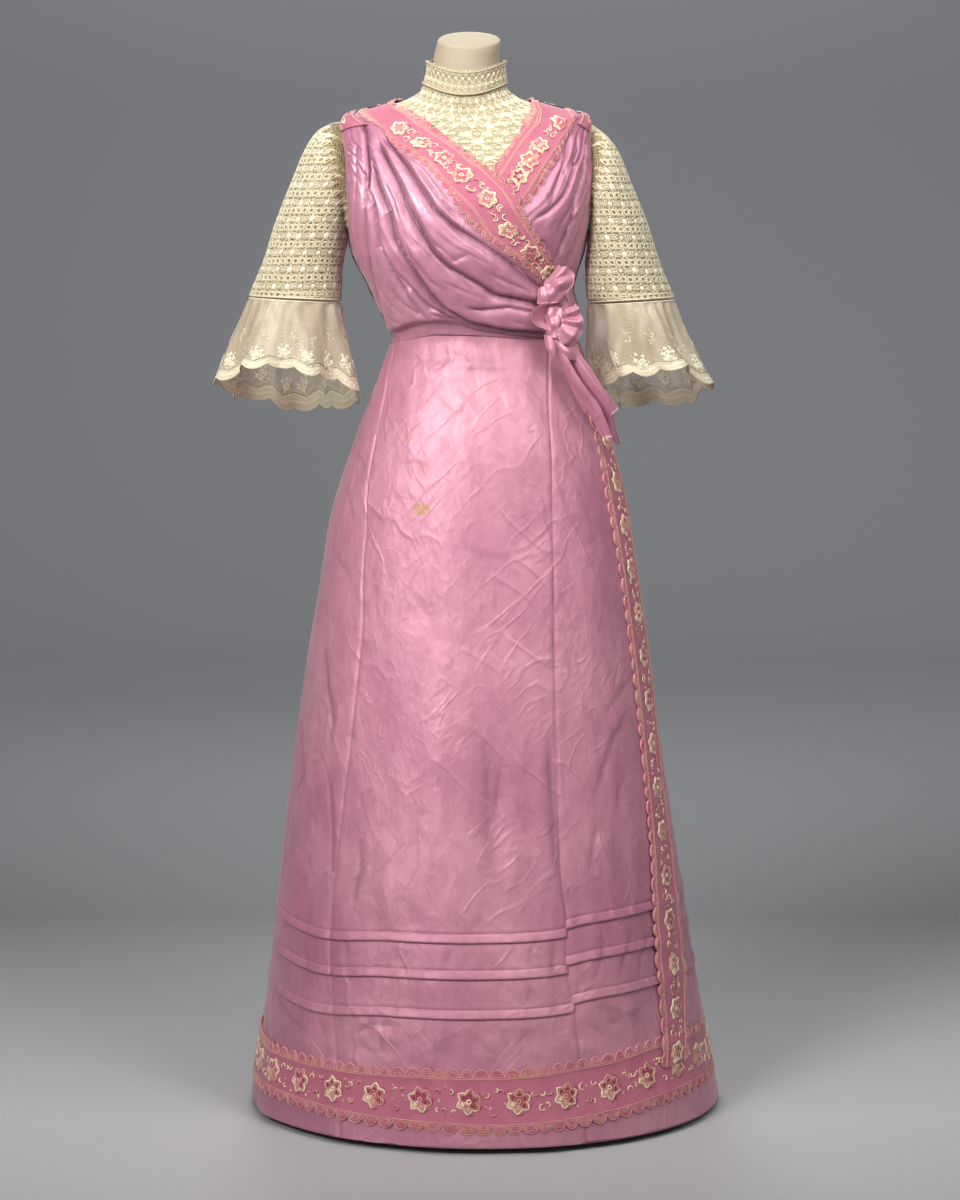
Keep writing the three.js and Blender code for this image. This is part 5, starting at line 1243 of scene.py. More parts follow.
R_FLOWERS = [(-30, 1303), (-17, 1284), (-8, 1258), (-1.5, 1232), (8, 1199), (19, 1162), (31, 1133), (43, 1104)]
L_FLOWERS = [(50, 1293), (33, 1277), (26, 1256), (21, 1232), (14, 1206)]
rb_obj, rb_thr, rb_area, rb_len = dress_band("embroidery_neck_right", rb, 13.5, (9.5, 8.0), place_flowers(rb, R_FLOWERS, 0.84), 41, pitch=15.0, size=28.0, step=1.6, warm=True, sharp=0.75)
lb_obj, lb_thr, lb_area, lb_len = dress_band("embroidery_neck_left", lb, 13.0, (9.5, 7.0), place_flowers(lb, L_FLOWERS, 0.84), 51, pitch=15.0, size=28.0, step=1.6, warm=True, sharp=0.6)
BAND_BK = table("at_out v_out at_in v_in", [
    (92.4, 1309.5, 92.4, 1325), (112, 1306, 112, 1324), (135, 1293, 135, 1318), (158, 1279, 158, 1310), (180, 1273, 180, 1306),
    (202, 1279, 202, 1310), (225, 1293, 225, 1318), (248, 1306, 248, 1324), (267.6, 1309.5, 267.6, 1323)])
nb = Band(BAND_BK["at_out"], BAND_BK["v_out"], BAND_BK["at_in"], BAND_BK["v_in"], lambda at, v: 3.4 + 0 * at, n=240)
nb_obj, nb_thr, nb_area, nb_len = dress_band("embroidery_neck_back", nb, 12.0, (8.0, 6.0), [(q, 0.0, 0.8) for q in np.arange(24, nb.length - 15, 47.0)], 61, pitch=15.0, size=27.0, step=2.4, warm=True)


def shoulder(name, rows, side, seed):
    """band over the shoulder seam: a small ground shell with curls and cord"""
    T = table("at_f v_f at_m v_m at_b v_b", rows)
    q = np.arange(3.0)

    def at_v(x, y):          # x 0..1 front to back, y 0..1 armhole to neck
        g = {c: curve(q, T[c])(y * 2) for c in T}
        t, u = np.clip(2 * x, 0, 1), np.clip(2 * x - 1, 0, 1)
        a = g["at_f"] + (g["at_m"] - g["at_f"]) * t + (g["at_b"] - g["at_m"]) * u
        v = g["v_f"] + (g["v_m"] - g["v_f"]) * (1 - (1 - t) ** 1.6) + (g["v_b"] - g["v_m"]) * u
        return a, v

    def surf(x, y, h):       # millimetres: x 0..44 front to back, y 0..34
        a, v = at_v(np.clip(np.asarray(x) / 44, 0, 1), np.clip(np.asarray(y) / 30, 0, 1))
        o = 3.3 + (CROSS_OUT * sm(-38, -8, a) if side < 0 else 0)
        return S(a, v, o + h)
    xs, ys = np.linspace(0, 44, 34), np.linspace(0, 30, 16)
    X, Y = np.meshgrid(xs, ys)
    if side < 0:
        X = X[:, ::-1]
    P = surf(X, Y, 0.25 * noise(X, Y, (9, 9), seed))
    ground = mesh_object(name, P.reshape(-1, 3), grid_faces(16, 34), [M_GROUND])
    h = Heap()
    rs = np.random.RandomState(seed)
    for y in (3, 27):
        t = np.linspace(0.5, 43.5, 30)
        strip_on(h, surf, np.stack([t, y + 0 * t], -1), 1.6, 1.1, P_, False, 0.2)
    for cx, cy in ((9, 10), (20, 20), (31, 11), (38, 21)):
        crescent(h, surf, cx, cy, 3.6, rs.rand() * 6, rs.rand() * 6 + 4, C_ if rs.rand() < 0.4 else P_, 1.8, 1.2)
        crescent(h, surf, cx + 4, cy - 3, 2.6, rs.rand() * 6, rs.rand() * 6 + 4, P_, 1.5, 1.1)
        dome_on(h, surf, cx + 1, cy, 1.6, 1.3, 0, 1.2, R_, 6, 0.2)
    return ground, extra(h.build(name + "_threads", TRIMS)), surf_area(P)


SR = [(-80, 1285, -90, 1304.6, -98, 1302.4), (-66, 1291.4, -90, 1306.6, -98, 1305.2), (-50, 1299.4, -90, 1308.5, -98, 1308)]
SL = [(79, 1284, 90, 1305, 98, 1303), (71, 1288.5, 86, 1306, 98, 1305.2), (61, 1297.4, 78, 1305.6, 98, 1308.4)]
sr_obj, sr_thr, sr_area = shoulder("embroidery_shoulder_right", SR, -1, 91)
sl_obj, sl_thr, sl_area = shoulder("embroidery_shoulder_left", SL, 1, 92)
done(rb_obj, ["trim_neck_right"], held="draped", area=min(rb_area, rb_len / 1000 * 0.046))
done(lb_obj, ["trim_neck_left"], held="draped", area=min(lb_area, lb_len / 1000 * 0.046))
done(nb_obj, ["trim_neck_back"], held="draped", area=min(nb_area, nb_len / 1000 * 0.040))
for o, th, a, node, rest in ((sr_obj, sr_thr, sr_area, "trim_shoulder_right", "cloth_front_right"), (sl_obj, sl_thr, sl_area, "trim_shoulder_left", "cloth_front_left")):
    w = math.sqrt(a)
    done(o, [node], held="draped", area=a)

# ------------------------------------------------------------------ sleeves
SLEEVE_R = table("ox oz ix iz hy y", [
    (-194.0, 1295.0, -172.5, 1146.0, 45, 0), (-212.0, 1284.0, -173.5, 1140.5, 53, 0), (-229.0, 1259.0, -175.0, 1134.5, 58, 0),
    (-246.0, 1217.0, -177.5, 1128.0, 61, -1), (-266.0, 1165.0, -180.0, 1119.5, 62, -2), (-280.0, 1124.0, -181.0, 1107.0, 62, -3),
    (-291.5, 1093.0, -181.5, 1088.0, 62, -4), (-299.5, 1071.5, -183.0, 1065.5, 62, -4)])
SLEEVE_L = table("ox oz ix iz hy y", [
    (154.8, 1287.0, 140.8, 1146.0, 45, 0), (166.0, 1277.0, 140.4, 1140.5, 53, 0), (180.0, 1258.0, 140.0, 1134.5, 58, 0),
    (196.5, 1217.0, 139.5, 1128.0, 61, -1), (217.0, 1165.0, 139.0, 1119.5, 62, -2), (231.0, 1124.0, 138.5, 1105.0, 62, -3),
    (243.0, 1091.0, 139.5, 1082.0, 62, -4), (251.5, 1069.5, 142.5, 1062.8, 62, -4)])
CUFF_R = table("ox oz ix iz hy y drop wave", [
    (-301.0, 1070.5, -183.2, 1063.6, 63, -4, 0, 0), (-313.8, 1040.5, -179.8, 1042.5, 74, -2, 5, 3),
    (-325.3, 1012.0, -173.3, 1012.0, 84, 0, 14, 5.5), (-334.5, 985.0, -167.5, 983.0, 92, 2, 27, 8), (-340.5, 966.0, -163.5, 958.0, 97, 3, 36, 10)])
CUFF_L = table("ox oz ix iz hy y drop wave", [
    (252.9, 1067.7, 142.1, 1061.1, 63, -4, 0, 0), (263.2, 1040.2, 142.4, 1037.6, 74, -2, 5, 3),
    (276.1, 1010.6, 141.1, 1005.4, 84, 0, 14, 5.5), (288.5, 984.6, 146.5, 979.4, 92, 2, 25, 8), (298.5, 966.0, 155.5, 958.0, 97, 3, 33, 10)])


class Tube:
    """a sleeve: q runs down its sections, t round from the inner end by the front (radians)"""

    def __init__(self, T, side, head):
        n = len(T["ox"])
        q = np.arange(n, dtype=float)
        self.f = {c: curve(q, T[c]) for c in T}
        self.n, self.side, self.head = n, side, head
        self.flutes = None

    def raw(self, t, q, off):
        g = {c: f(np.clip(q, 0, self.n - 1)) for c, f in self.f.items()}
        hx, hz = (g["ox"] - g["ix"]) / 2, (g["oz"] - g["iz"]) / 2
        ln = np.hypot(hx, hz)
        c, d = -np.cos(t) * (ln + off), -np.sin(t) * (g["hy"] + off)
        P = np.stack([(g["ox"] + g["ix"]) / 2 + hx / ln * c, g["y"] + d, (g["oz"] + g["iz"]) / 2 + hz / ln * c], -1)
        if "drop" in g:
            P[..., 2] += -g["drop"] * (0.5 - 0.5 * np.sin(t)) + g["drop"] * 0.25
        return P

    def arm(self, t):
        """the armhole's ring"""
        fr_, bk_ = along(list(zip(90 - ARM["side"], ARM["v"])), 41), along(list(zip(90 + ARM_B["side"], ARM_B["v"])), 41)
        ring = np.concatenate([fr_, bk_[::-1][1:]])
        k = (t / (2 * math.pi) % 1) * (len(ring) - 1)
        a, v = np.interp(k, np.arange(len(ring)), ring[:, 0]), np.interp(k, np.arange(len(ring)), ring[:, 1])
        a, v = 90 + (a - 90) * 0.915, 1224 + (v - 1224) * 0.955
        return S(self.side * a, v, 0.0 * v)

    def __call__(self, t, q, off=0.0):
        t, q, off = np.broadcast_arrays(np.asarray(t, float), np.asarray(q, float), np.asarray(off, float))
        P = self.raw(t, q, off)
        if self.head:                        # q from -1 to 0 goes from the armhole to the first section
            k = np.clip(q + 1, 0, 1)[..., None]
            A = self.arm(t)
            P = np.where(q[..., None] < 0, A * (1 - k) + self.raw(t, 0 * q, off) * k, P)
        return P


def strip_lengths(tube, q0, q1, n=200):
    """mean length down the tube and a table of it"""
    q = np.linspace(q0, q1, n)
    acc = 0
    for t in np.linspace(0, 2 * math.pi, 12, endpoint=False):
        p = tube(t + 0 * q, q)
        acc = acc + np.concatenate([[0], np.cumsum(np.linalg.norm(np.diff(p, axis=0), axis=1))])
    return q, acc / 12


def lace_sleeve(name, T, side, seed):
    tube = Tube(T, side, True)
    nq = tube.n - 1
    # where each height lies on the tube: q by angle (0 at the inner end, by the front) and height
    ta = np.linspace(0, 2 * math.pi, 241)
    qa = np.linspace(-1, nq, 160)
    soft = lambda t, q: 1.2 * noise(np.cos(t) * 60, q * 20 + 9 * np.sin(t), (34, 28), seed) + 1.5 * np.sin(2 * t + 0.8) * sm(0, 4, q)
    Z = tube(ta[:, None], qa[None, :])[..., 2]
    zs = np.linspace(1040, 1312, 273)
    Q, top = np.empty((len(ta), len(zs))), Z.max(axis=1)
    for i in range(len(ta)):
        zz = np.maximum.accumulate(Z[i][::-1])[::-1]
        Q[i] = np.interp(-zs, -zz + 1e-6 * np.arange(len(zz)), qa)

    def q_of(t, z):
        x, y = (t % (2 * math.pi)) / (2 * math.pi) * 240, np.clip(z - 1040, 0, 271.99)
        i, j = np.minimum(np.floor(x).astype(int), 239), np.floor(y).astype(int)
        a, b = x - i, y - j
        return (Q[i, j] * (1 - a) + Q[i + 1, j] * a) * (1 - b) + (Q[i, j + 1] * (1 - a) + Q[i + 1, j + 1] * a) * b

    nt, nd = 132, 60
    t = np.linspace(0, 2 * math.pi, nt, endpoint=False)
    q = np.linspace(nq, -1, nd)
    tt, qq = np.meshgrid(t, q)
    Pg = tube(tt, qq, -0.5 + soft(tt, qq))
    if side < 0:
        Pg = Pg[:, ::-1]
    ground = grid_object(name + "_net", Pg, [M_LACE_GROUND], ringed=True)
    area = surf_area(Pg, True)
    heap = Heap()
    rs = np.random.RandomState(seed)
    z_low = float(Z[:, -1].mean()) + 6
    levels = [z_low]
    outer = tube(math.pi + 0 * qa, qa)
    while levels[-1] < 1296:                  # closer levels where the head of the sleeve slopes
        k = int(np.argmin(np.abs(outer[:, 2] - levels[-1])))
        k = min(max(k, 1), len(qa) - 2)
        run = np.linalg.norm(outer[k + 1] - outer[k - 1])
        slope = abs(outer[k + 1, 2] - outer[k - 1, 2]) / run
        levels.append(levels[-1] + 10.8 * (1.0 if levels[-1] < 1262 else max(slope, 0.35)))
    for r, z0 in enumerate(levels[:-1]):
        full = np.linspace(0.0, 2 * math.pi, 481)
        bottom = np.interp(full, ta, Z[:, -1])
        ok = (np.interp(full, ta, top) > z0 + 2.2) & (bottom < z0 - 2.5)
        qf = q_of(full, np.full(481, z0))
        P = tube(full, qf, soft(full, qf))
        arc = np.concatenate([[0], np.cumsum(np.linalg.norm(np.diff(P, axis=0), axis=1))])
        L = arc[-1]

        def surf(x, y, h, arc=arc, z0=z0):
            tq = np.interp(x, arc, full)
            qv = q_of(tq, z0 - y)
            return tube(tq, qv, h + soft(tq, qv))
        n = 2 * int(round(L / 18.0))
        per = L / n
        for i in range(n):
            x = (i + 0.5 * ((r // 2) % 2)) * per
            if not ok[int(np.clip(np.interp(x, arc, np.arange(481)), 0, 480))]:
                continue
            x, y = x + rs.uniform(-0.4, 0.4), rs.uniform(-0.5, 0.5)
            if r % 2 == 0:
                ring_on(heap, surf, x, y, per * 0.50, per * 0.25, 12, 1.0, 0)
                ring_on(heap, surf, x + per / 2, y + 4.1, 1.9, 0.7, 6, 0.7, 0)
                ring_on(heap, surf, x + per / 2, y - 4.1, 1.9, 0.7, 6, 0.7, 0)
            elif i % 2 == (r // 2) % 2:
                x, y, d_ = x + rs.uniform(-0.9, 0.9), y + rs.uniform(-0.9, 0.9), rs.uniform(2.9, 4.0)
                dome_on(heap, surf, x, y, d_, d_ * 0.97, 0, 0.75, 1 if rs.rand() < 0.85 else 0, 12, 0.1, 0.75)
                for a in range(7):
                    b = a * 2 * math.pi / 7 + 0.3
                    ring_on(heap, surf, x + 5.6 * math.cos(b), y + 5.0 * math.sin(b), 1.8, 0.75, 6, 0.7, 0)
            else:
                for a in range(4):
                    b = a * math.pi / 2 + 0.785
                    ring_on(heap, surf, x + 2.4 * math.cos(b), y + 2.6 * math.sin(b), 2.2, 1.0, 7, 0.8, 0)
    thread = heap.build(name + "_thread", [M_LACE, M_LACE_WHITE])
    trim = Heap()
    x = np.linspace(0, 2 * math.pi, 150, endpoint=False)
    skew = lambda a, b, h: tube(a, b, h + soft(a, b))
    for qc, w in ((nq - 0.08, 0.10), (nq - 0.32, 0.06), (-0.93, 0.12)):
        k, hh = np.array([-0.5, -0.3, 0, 0.3, 0.5])[:, None], np.array([0.0, 0.9, 1.25, 0.9, 0.0])[:, None]
        xx = x if side > 0 else x[::-1]
        trim.put(skew, xx[None, :] + 0 * k, qc - k * w + 0 * xx, hh + 0 * xx, grid_faces(5, 150, True).tolist(), 0)
    edge = trim.build(name + "_edge", [M_LACE])
    girth = np.linalg.norm(np.diff(Pg[0], axis=0), axis=1).sum()
    gmax = max(float(np.linalg.norm(np.diff(Pg[k], axis=0), axis=1).sum()) for k in range(0, nd, 6))
    ln = float(np.linalg.norm(np.diff(Pg[:, ::11], axis=0), axis=2).sum(0).mean())
    return ground, thread, edge, area, gmax, ln


for node, T, side, seed in (("sleeve_right", SLEEVE_R, -1, 101), ("sleeve_left", SLEEVE_L, 1, 111)):
    ground, thread, edge, area, g, ln = lace_sleeve("lace_" + node, T, side, seed)
    extra(thread)
    extra(edge)
    w, l = g / 1000 * 1.02, ln / 1000 * 1.15
    done(ground, [node], held="hung", area=min(area, w * l))

# ------------------------------------------------------------------ net flounces
FLUTE_R = [(0.40, 0.26, 11), (0.80, 0.20, -9), (1.18, 0.22, 10), (1.62, 0.20, -12), (2.02, 0.24, 13), (2.48, 0.18, -15), (2.95, 0.30, 9), (3.5, 0.22, -8), (4.0, 0.24, 9), (4.45, 0.22, -12), (4.95, 0.28, 12), (5.5, 0.24, -11), (5.95, 0.2, 7)]
FLUTE_L = [(0.28, 0.26, 9), (0.70, 0.20, -10), (1.10, 0.24, 12), (1.55, 0.20, -10), (1.98, 0.24, 11), (2.42, 0.20, -13), (2.88, 0.28, 9), (3.4, 0.24, -8), (3.95, 0.26, 9), (4.5, 0.24, -12), (5.0, 0.26, 11), (5.5, 0.22, -10), (5.9, 0.2, 6)]


def flounce(name, T, side, flutes, seed, lifts):
    """net flounce: flutes swing the hem in and out and up and down"""
    tube = Tube(T, side, False)
    lt, lv = np.array([p[0] for p in lifts]), np.array([p[1] for p in lifts])
    lt, lv = np.concatenate([lt - 2 * math.pi, lt, lt + 2 * math.pi]), np.tile(lv, 3)
    lift_f = curve(lt, lv)

    def at(t, q, h=0.0):
        t, q = np.broadcast_arrays(np.asarray(t, float), np.asarray(q, float))
        t = t % (2 * math.pi)
        grow = (q / 4) ** 1.15
        o = 0
        for c, w, a in flutes:
            d = np.abs((t - c + math.pi) % (2 * math.pi) - math.pi) / w
            o = o + a * np.exp(-d * d)
        fine = 2.4 * np.cos(19 * t + 2.4 * np.sin(3 * t)) * np.exp(-q * 0.55) + 1.5 * noise(np.cos(t) * 60, q * 12 + 40 * np.sin(t), (13, 40), seed)
        P = tube(t, q, o * grow + fine * sm(0, 0.3, q) + h)
        P[..., 2] += lift_f(t) * (q / 4) ** 1.3 - 0.12 * o * grow
        return P
    qs, ls = strip_lengths(tube, 0, 4)
    total = float(ls[-1])
    nt, nd = 270, 36
    t = np.linspace(0, 2 * math.pi, nt, endpoint=False)
    q = np.linspace(4, 0, nd)
    tt, qq = np.meshgrid(t, q)
    g4 = 0.0
    P = at(tt, qq)
    g4 = float(np.linalg.norm(np.diff(np.concatenate([P[0], P[0][:1]]), axis=0), axis=1).sum())
    n_w = int(round(g4 / 41))
    pw = g4 / n_w
    arc_t = np.concatenate([[0], np.cumsum(np.linalg.norm(np.diff(np.concatenate([P[0], P[0][:1]]), axis=0), axis=1))])
    tq_ = np.append(t, 2 * math.pi)
    # the hem's scallops: each wave hangs about 6 mm
    dip = lambda x: 6.5 * np.abs(np.sin(math.pi * x / pw)) ** 0.8
    xs_ = np.interp(t, tq_, arc_t)
    P[:, :, 2] -= dip(xs_)[None, :] * ((qq / 4) ** 6)
    net = grid_object(name + "_net", P if side > 0 else P[:, ::-1], [M_NET], ringed=True)
    area = surf_area(P, True)
    heap = Heap()

    def surf(x, y, h):                        # x round at the hem, y up from it
        xw = np.asarray(x) % g4
        tq = np.interp(xw, arc_t, tq_)
        q_ = np.interp(total - np.asarray(y), ls, qs)
        R = at(tq, q_, np.asarray(h) + 0.25)
        R[..., 2] -= dip(xw) * ((q_ / 4) ** 6)
        return R
    def inner(x, y, h):                       # the same on the face toward the arm
        R = surf(x, y, -np.asarray(h) - 0.9)
        return R
    x = np.linspace(0, g4, int(g4 / 2.0), endpoint=False)
    ph = math.pi * x / pw
    yb = [-2.0 + 2.4 * (1 - np.abs(np.sin(math.pi * x / 5.4))), 1.5 + 0 * x, 5.0 + 1.2 * np.abs(np.cos(ph)), 9.5 + 4.2 * np.abs(np.cos(ph)) ** 0.8]
    order = slice(None) if side > 0 else slice(None, None, -1)
    X4 = np.stack([x[order]] * 4)
    Y4 = np.stack(yb)[:, order]
    H4 = np.array([0.0, 0.4, 0.35, 0.05])[:, None] + 0 * X4
    heap.put(surf, X4, Y4, H4, grid_faces(4, len(x), True).tolist(), 0)
    heap.put(inner, X4[:, ::-1], Y4[:, ::-1], H4, grid_faces(4, len(x), True).tolist(), 0)
    for y, w, m_ in ((yb[1], 1.3, 1), (yb[2] + 1, 1.5, 1), (yb[3], 1.7, 1), (yb[3] + 3.2, 1.1, 0), (yb[3] + 4.9, 0.9, 0)):
        strip_on(heap, surf, np.stack([x, y], -1), w, 1.0, m_, False, 0.2)
        strip_on(heap, inner, np.stack([x, y], -1), w, 0.8, m_, False, 0.2)
    rs = np.random.RandomState(seed)
    for i in range(n_w * 5):
        cx = (i + 0.5) * pw / 5
        if i % 5 in (1, 3):
            dome_on(heap, surf, cx, 5.6 + rs.uniform(-1, 1), 2.8, 1.9, rs.uniform(-0.5, 0.5), 0.9, 1, 8, 0.2)
        else:
            ring_on(heap, surf, cx, 5.4 + rs.uniform(-1, 1), 2.1, 0.9, 7, 0.9, 1)
    for i in range(n_w):                      # a spray above each wave
        cx, cy = (i + 0.5) * pw + rs.uniform(-5, 5), rs.uniform(18, 24)
        lean = rs.uniform(-0.5, 0.5)
        for k, (dx, dy, r) in enumerate(((0, 0, 4.4), (6.0, 3.5, 3.9), (-6, 4.5, 3.8), (1.5, 8.5, 3.8), (-4.5, -5, 3.4), (6.5, -4.0, 3.2), (8.5, 10.5, 3.2), (-1.5, 15, 3.1), (5.5, 17, 2.8), (-9, 11, 2.6))):
            if rs.rand() < 0.14:
                continue
            X, Y = cx + dx * math.cos(lean) - dy * math.sin(lean), cy + dx * math.sin(lean) + dy * math.cos(lean)
            np_ = 4 if r > 3.0 else 2
            for p_ in range(np_):
                b = p_ * 2 * math.pi / np_ + lean + k
                if k in (0, 1, 2, 3, 6):
                    dome_on(heap, inner, X + r * 0.6 * math.cos(b), Y + r * 0.6 * math.sin(b), r * 0.62, r * 0.46, b, 0.7, 1, 7, 0.15)
                dome_on(heap, surf, X + r * 0.6 * math.cos(b), Y + r * 0.6 * math.sin(b), r * 0.66, r * 0.50, b, 1.0, 1, 7, 0.15)
        u = np.linspace(-13, 13, 14)
        strip_on(heap, surf, np.stack([cx + u, cy - 7 + 0.05 * u * u], -1), 1.0, 0.7, 1, False, 0.15)
        strip_on(heap, surf, np.stack([cx + u * 0.8, cy - 5 + 0.06 * u * u], -1), 0.8, 0.6, 0, False, 0.15)
    for i in range(n_w):                      # small faint sprays higher up
        cx, cy = (i + rs.uniform(0.05, 0.35)) * pw, rs.uniform(45, 70)
        for _ in range(8):
            dome_on(heap, surf, cx + rs.uniform(-7, 7), cy + rs.uniform(-10, 10), 2.2, 1.4, rs.rand() * 3, 0.5, 0, 6, 0.1)
        u = np.linspace(0, 1, 10)
        strip_on(heap, surf, np.stack([cx + 6 * np.sin(u * 5), cy - 12 + 24 * u], -1), 0.8, 0.5, 0, False, 0.1)
    emb = heap.build(name + "_embroidery", [M_LACE, M_LACE_WHITE])
    gather = Heap()
    xx = np.linspace(0, 2 * math.pi, 160, endpoint=False)[order]
    k = np.array([0.085, 0.05, 0.02, 0.0])[:, None]
    gather.put(at, xx[None, :] + 0 * k, k + 0 * xx, np.array([0.0, 0.9, 1.1, 0.2])[:, None] + 0 * xx, grid_faces(4, 160, True).tolist(), 0)
    gob = gather.build(name + "_join", [M_LACE])
    return net, emb, gob, area, g4, total


# how far the hem rises (or hangs) round the flounce, by angle
LIFT_R = [(0.0, -12), (0.55, 2), (1.1, 9), (1.6, 14), (2.1, 17), (2.55, 6), (3.1, 3), (3.7, -6), (4.2, -2), (4.7, -14), (5.15, -8), (5.6, -14), (6.0, -8)]
LIFT_L = [(0.0, 2), (0.5, 4), (1.0, 12), (1.5, 6), (2.0, 17), (2.5, 4), (3.0, -3), (3.5, -4), (4.1, -12), (4.7, -6), (5.2, -12), (5.8, -4)]
for node, T, side, fl, seed, lifts in (("cuff_right", CUFF_R, -1, FLUTE_R, 121, LIFT_R), ("cuff_left", CUFF_L, 1, FLUTE_L, 131, LIFT_L)):
    net, emb, gob, area, g4, ln = flounce("lace_" + node, T, side, fl, seed, lifts)
    extra(emb)
    extra(gob)
    w, l = g4 / 1000, ln / 1000 * 1.05
    done(net, [node], held="gathered", area=min(area, w * l))

# ------------------------------------------------------------------ yoke and collar
V_FRONT = [(-89.6, 1312), (-66, 1309), (-44, 1305), (-25, 1298), (-12, 1284), (-3, 1262), (5, 1238), (8, 1228), (13, 1240), (18, 1262), (23, 1280), (32, 1297), (55, 1306), (70, 1309), (89.6, 1312)]
V_BACK = [(90.4, 1312), (112, 1311), (135, 1303), (158, 1294), (180, 1289), (202, 1294), (225, 1303), (248, 1311), (269.6, 1312)]


def yoke(name, low, ni, nj):
    a0, a1 = low[0][0], low[-1][0]
    G = coons([low[0], (a0, 1345.8)], [low[-1], (a1, 1345.8)], low, [(a0, 1345.8), (a1, 1345.8)], ni, nj)
    at, v = G[..., 0], G[..., 1]
    P = S(at, v, -3.0 + 0.35 * noise(at * 1.5, v, (14, 12), 141))
    o = grid_object(name, P, [M_YOKE])
    return o, surf_area(P)


yf, yf_area = yoke("lace_yoke_front", V_FRONT, 120, 60)
yb, yb_area = yoke("lace_yoke_back", V_BACK, 90, 40)


def lace_flowers(name, surf, inside, x0, x1, y0, y1, pitch, seed, size=5.2):
    """daisies and dots set in staggered rows on surf(x, y, h)"""
    heap, rs = Heap(), np.random.RandomState(seed)
    r = 0
    y = y0
    while y < y1:
        x = x0 + (pitch / 2 if r % 2 else 0)
        while x < x1:
            X, Y = x + rs.uniform(-0.8, 0.8), y + rs.uniform(-0.8, 0.8)
            if inside(X, Y):
                if (r + int(x / pitch)) % 3 == 1:
                    dome_on(heap, surf, X, Y, 3.6, 3.4, 0, 1.5, 1, 10, 0.1, 0.6)
                    for a in range(6):
                        b = a * math.pi / 3
                        ring_on(heap, surf, X + 5.1 * math.cos(b), Y + 5.1 * math.sin(b), 1.5, 0.55, 6, 0.6, 0)
                else:
                    for a in range(6):
                        b = a * math.pi / 3 + 0.4
                        dome_on(heap, surf, X + size * 0.42 * math.cos(b), Y + size * 0.42 * math.sin(b), size * 0.32, size * 0.22, b, 1.0, 1 if (a + r) % 2 else 0, 7, 0.1)
                    ring_on(heap, surf, X, Y, 1.2, 0.4, 6, 1.2, 0)
                ring_on(heap, surf, X + pitch / 2, Y + 0.5, 1.9, 0.85, 7, 0.7, 0)
                u = np.linspace(-1, 1, 6)
                strip_on(heap, surf, np.stack([X + 2.8 + 2.6 * u, Y + pitch * 0.36 + 1.3 * np.sin(3 * u)], -1), 0.8, 0.6, 0, False, 0.1)
                strip_on(heap, surf, np.stack([X - 3.2 + 2.0 * u, Y + pitch * 0.40 - 1.1 * np.sin(3 * u)], -1), 0.8, 0.6, 0, False, 0.1)
            x += pitch
        y += pitch * 0.82
        r += 1
    return heap.build(name, [M_LACE, M_LACE_WHITE])


v_front_line = curve([p[0] for p in V_FRONT], [p[1] for p in V_FRONT])
v_back_line = curve([p[0] for p in V_BACK], [p[1] for p in V_BACK])


def yoke_surf(x, y, h):
    """x round (mm at radius 62), y up from 1220"""
    at = np.asarray(x) / 1.35
    v = 1222 + np.asarray(y)
    return S(at, np.minimum(v, 1345), -3.0 + h)


def in_front(x, y):
    at, v = x / 1.35, 1222 + y
    return -86 < at < 86 and v > float(v_front_line(at)) + 1.5 and v < 1343


def in_back(x, y):
    at, v = x / 1.35, 1222 + y
    return 94 < at < 266 and v > float(v_back_line(at)) + 1.5 and v < 1343


yf_t = lace_flowers("lace_yoke_front_thread", yoke_surf, in_front, -116, 116, 4, 122, 11.5, 151)
yb_t = lace_flowers("lace_yoke_back_thread", yoke_surf, in_back, 128, 360, 64, 122, 11.5, 152)
extra(yf_t)
extra(yb_t)
wf = 0.24
done(yf, ["yoke_front"], held="stretched", area=min(yf_area, wf * 0.13))
done(yb, ["yoke_back"], held="stretched", area=min(yb_area, 0.024))


def col_off(v):
    return -0.3 + 2.6 * sm(1366, 1377, v) + 0.8 * np.exp(-((v - 1347.5) / 1.6) ** 2)


at = np.linspace(-180, 180, 161)[:-1]
cv = np.concatenate([np.linspace(1345.9, 1375.6, 34)])
A, V = np.meshgrid(at, cv)
rim = 0.9 * np.abs(np.sin(at * RAD * 26)) ** 0.8
V2 = V + (rim[None, :] * sm(1370, 1376, V))
P = S(A, V2, col_off(V) + 0.25 * noise(A * 0.9, V, (7, 6), 161))
over = S(A[:1], V2[-1:] - 1.2, col_off(V[-1:]) - 1.3)
P = np.concatenate([P, over])
col = grid_object("lace_collar", P, [M_YOKE], ringed=True)
col_area = surf_area(P, True)


def col_surf(x, y, h):
    at = np.asarray(x) / 0.9
    v = 1346 + np.asarray(y)
    return S(at, np.minimum(v, 1376.6), col_off(v) + h)


ch = Heap()
L_c = 0.9 * 360
for i in range(36):                           # lattice of lozenges
    x = i * L_c / 36
    for y0, sg in ((5, 1), (5, -1), (15, 1), (15, -1)):
        u = np.linspace(0, 1, 6)
        strip_on(ch, col_surf, np.stack([x + sg * u * L_c / 36, y0 + 10 * u], -1), 1.1, 0.8, 0, False, 0.1)
    dome_on(ch, col_surf, x, 10, 2.2, 2.2, 0, 1.0, 1, 8, 0.1)
    dome_on(ch, col_surf, x + L_c / 72, 20, 2.0, 2.0, 0, 1.0, 1, 8, 0.1)
    ring_on(ch, col_surf, x + L_c / 72, 10.5, 1.7, 0.8, 7, 0.8, 0)
    ring_on(ch, col_surf, x, 24.5, 1.6, 0.7, 7, 0.8, 0)
for y, w in ((27.6, 1.6), (24.6, 0.9), (1.6, 1.6), (4.2, 0.9)):
    x = np.linspace(0, L_c, 200)
    strip_on(ch, col_surf, np.stack([x, y + 0.35 * np.sin(x * 1.1)], -1), w, 1.0, 0, False, 0.1)
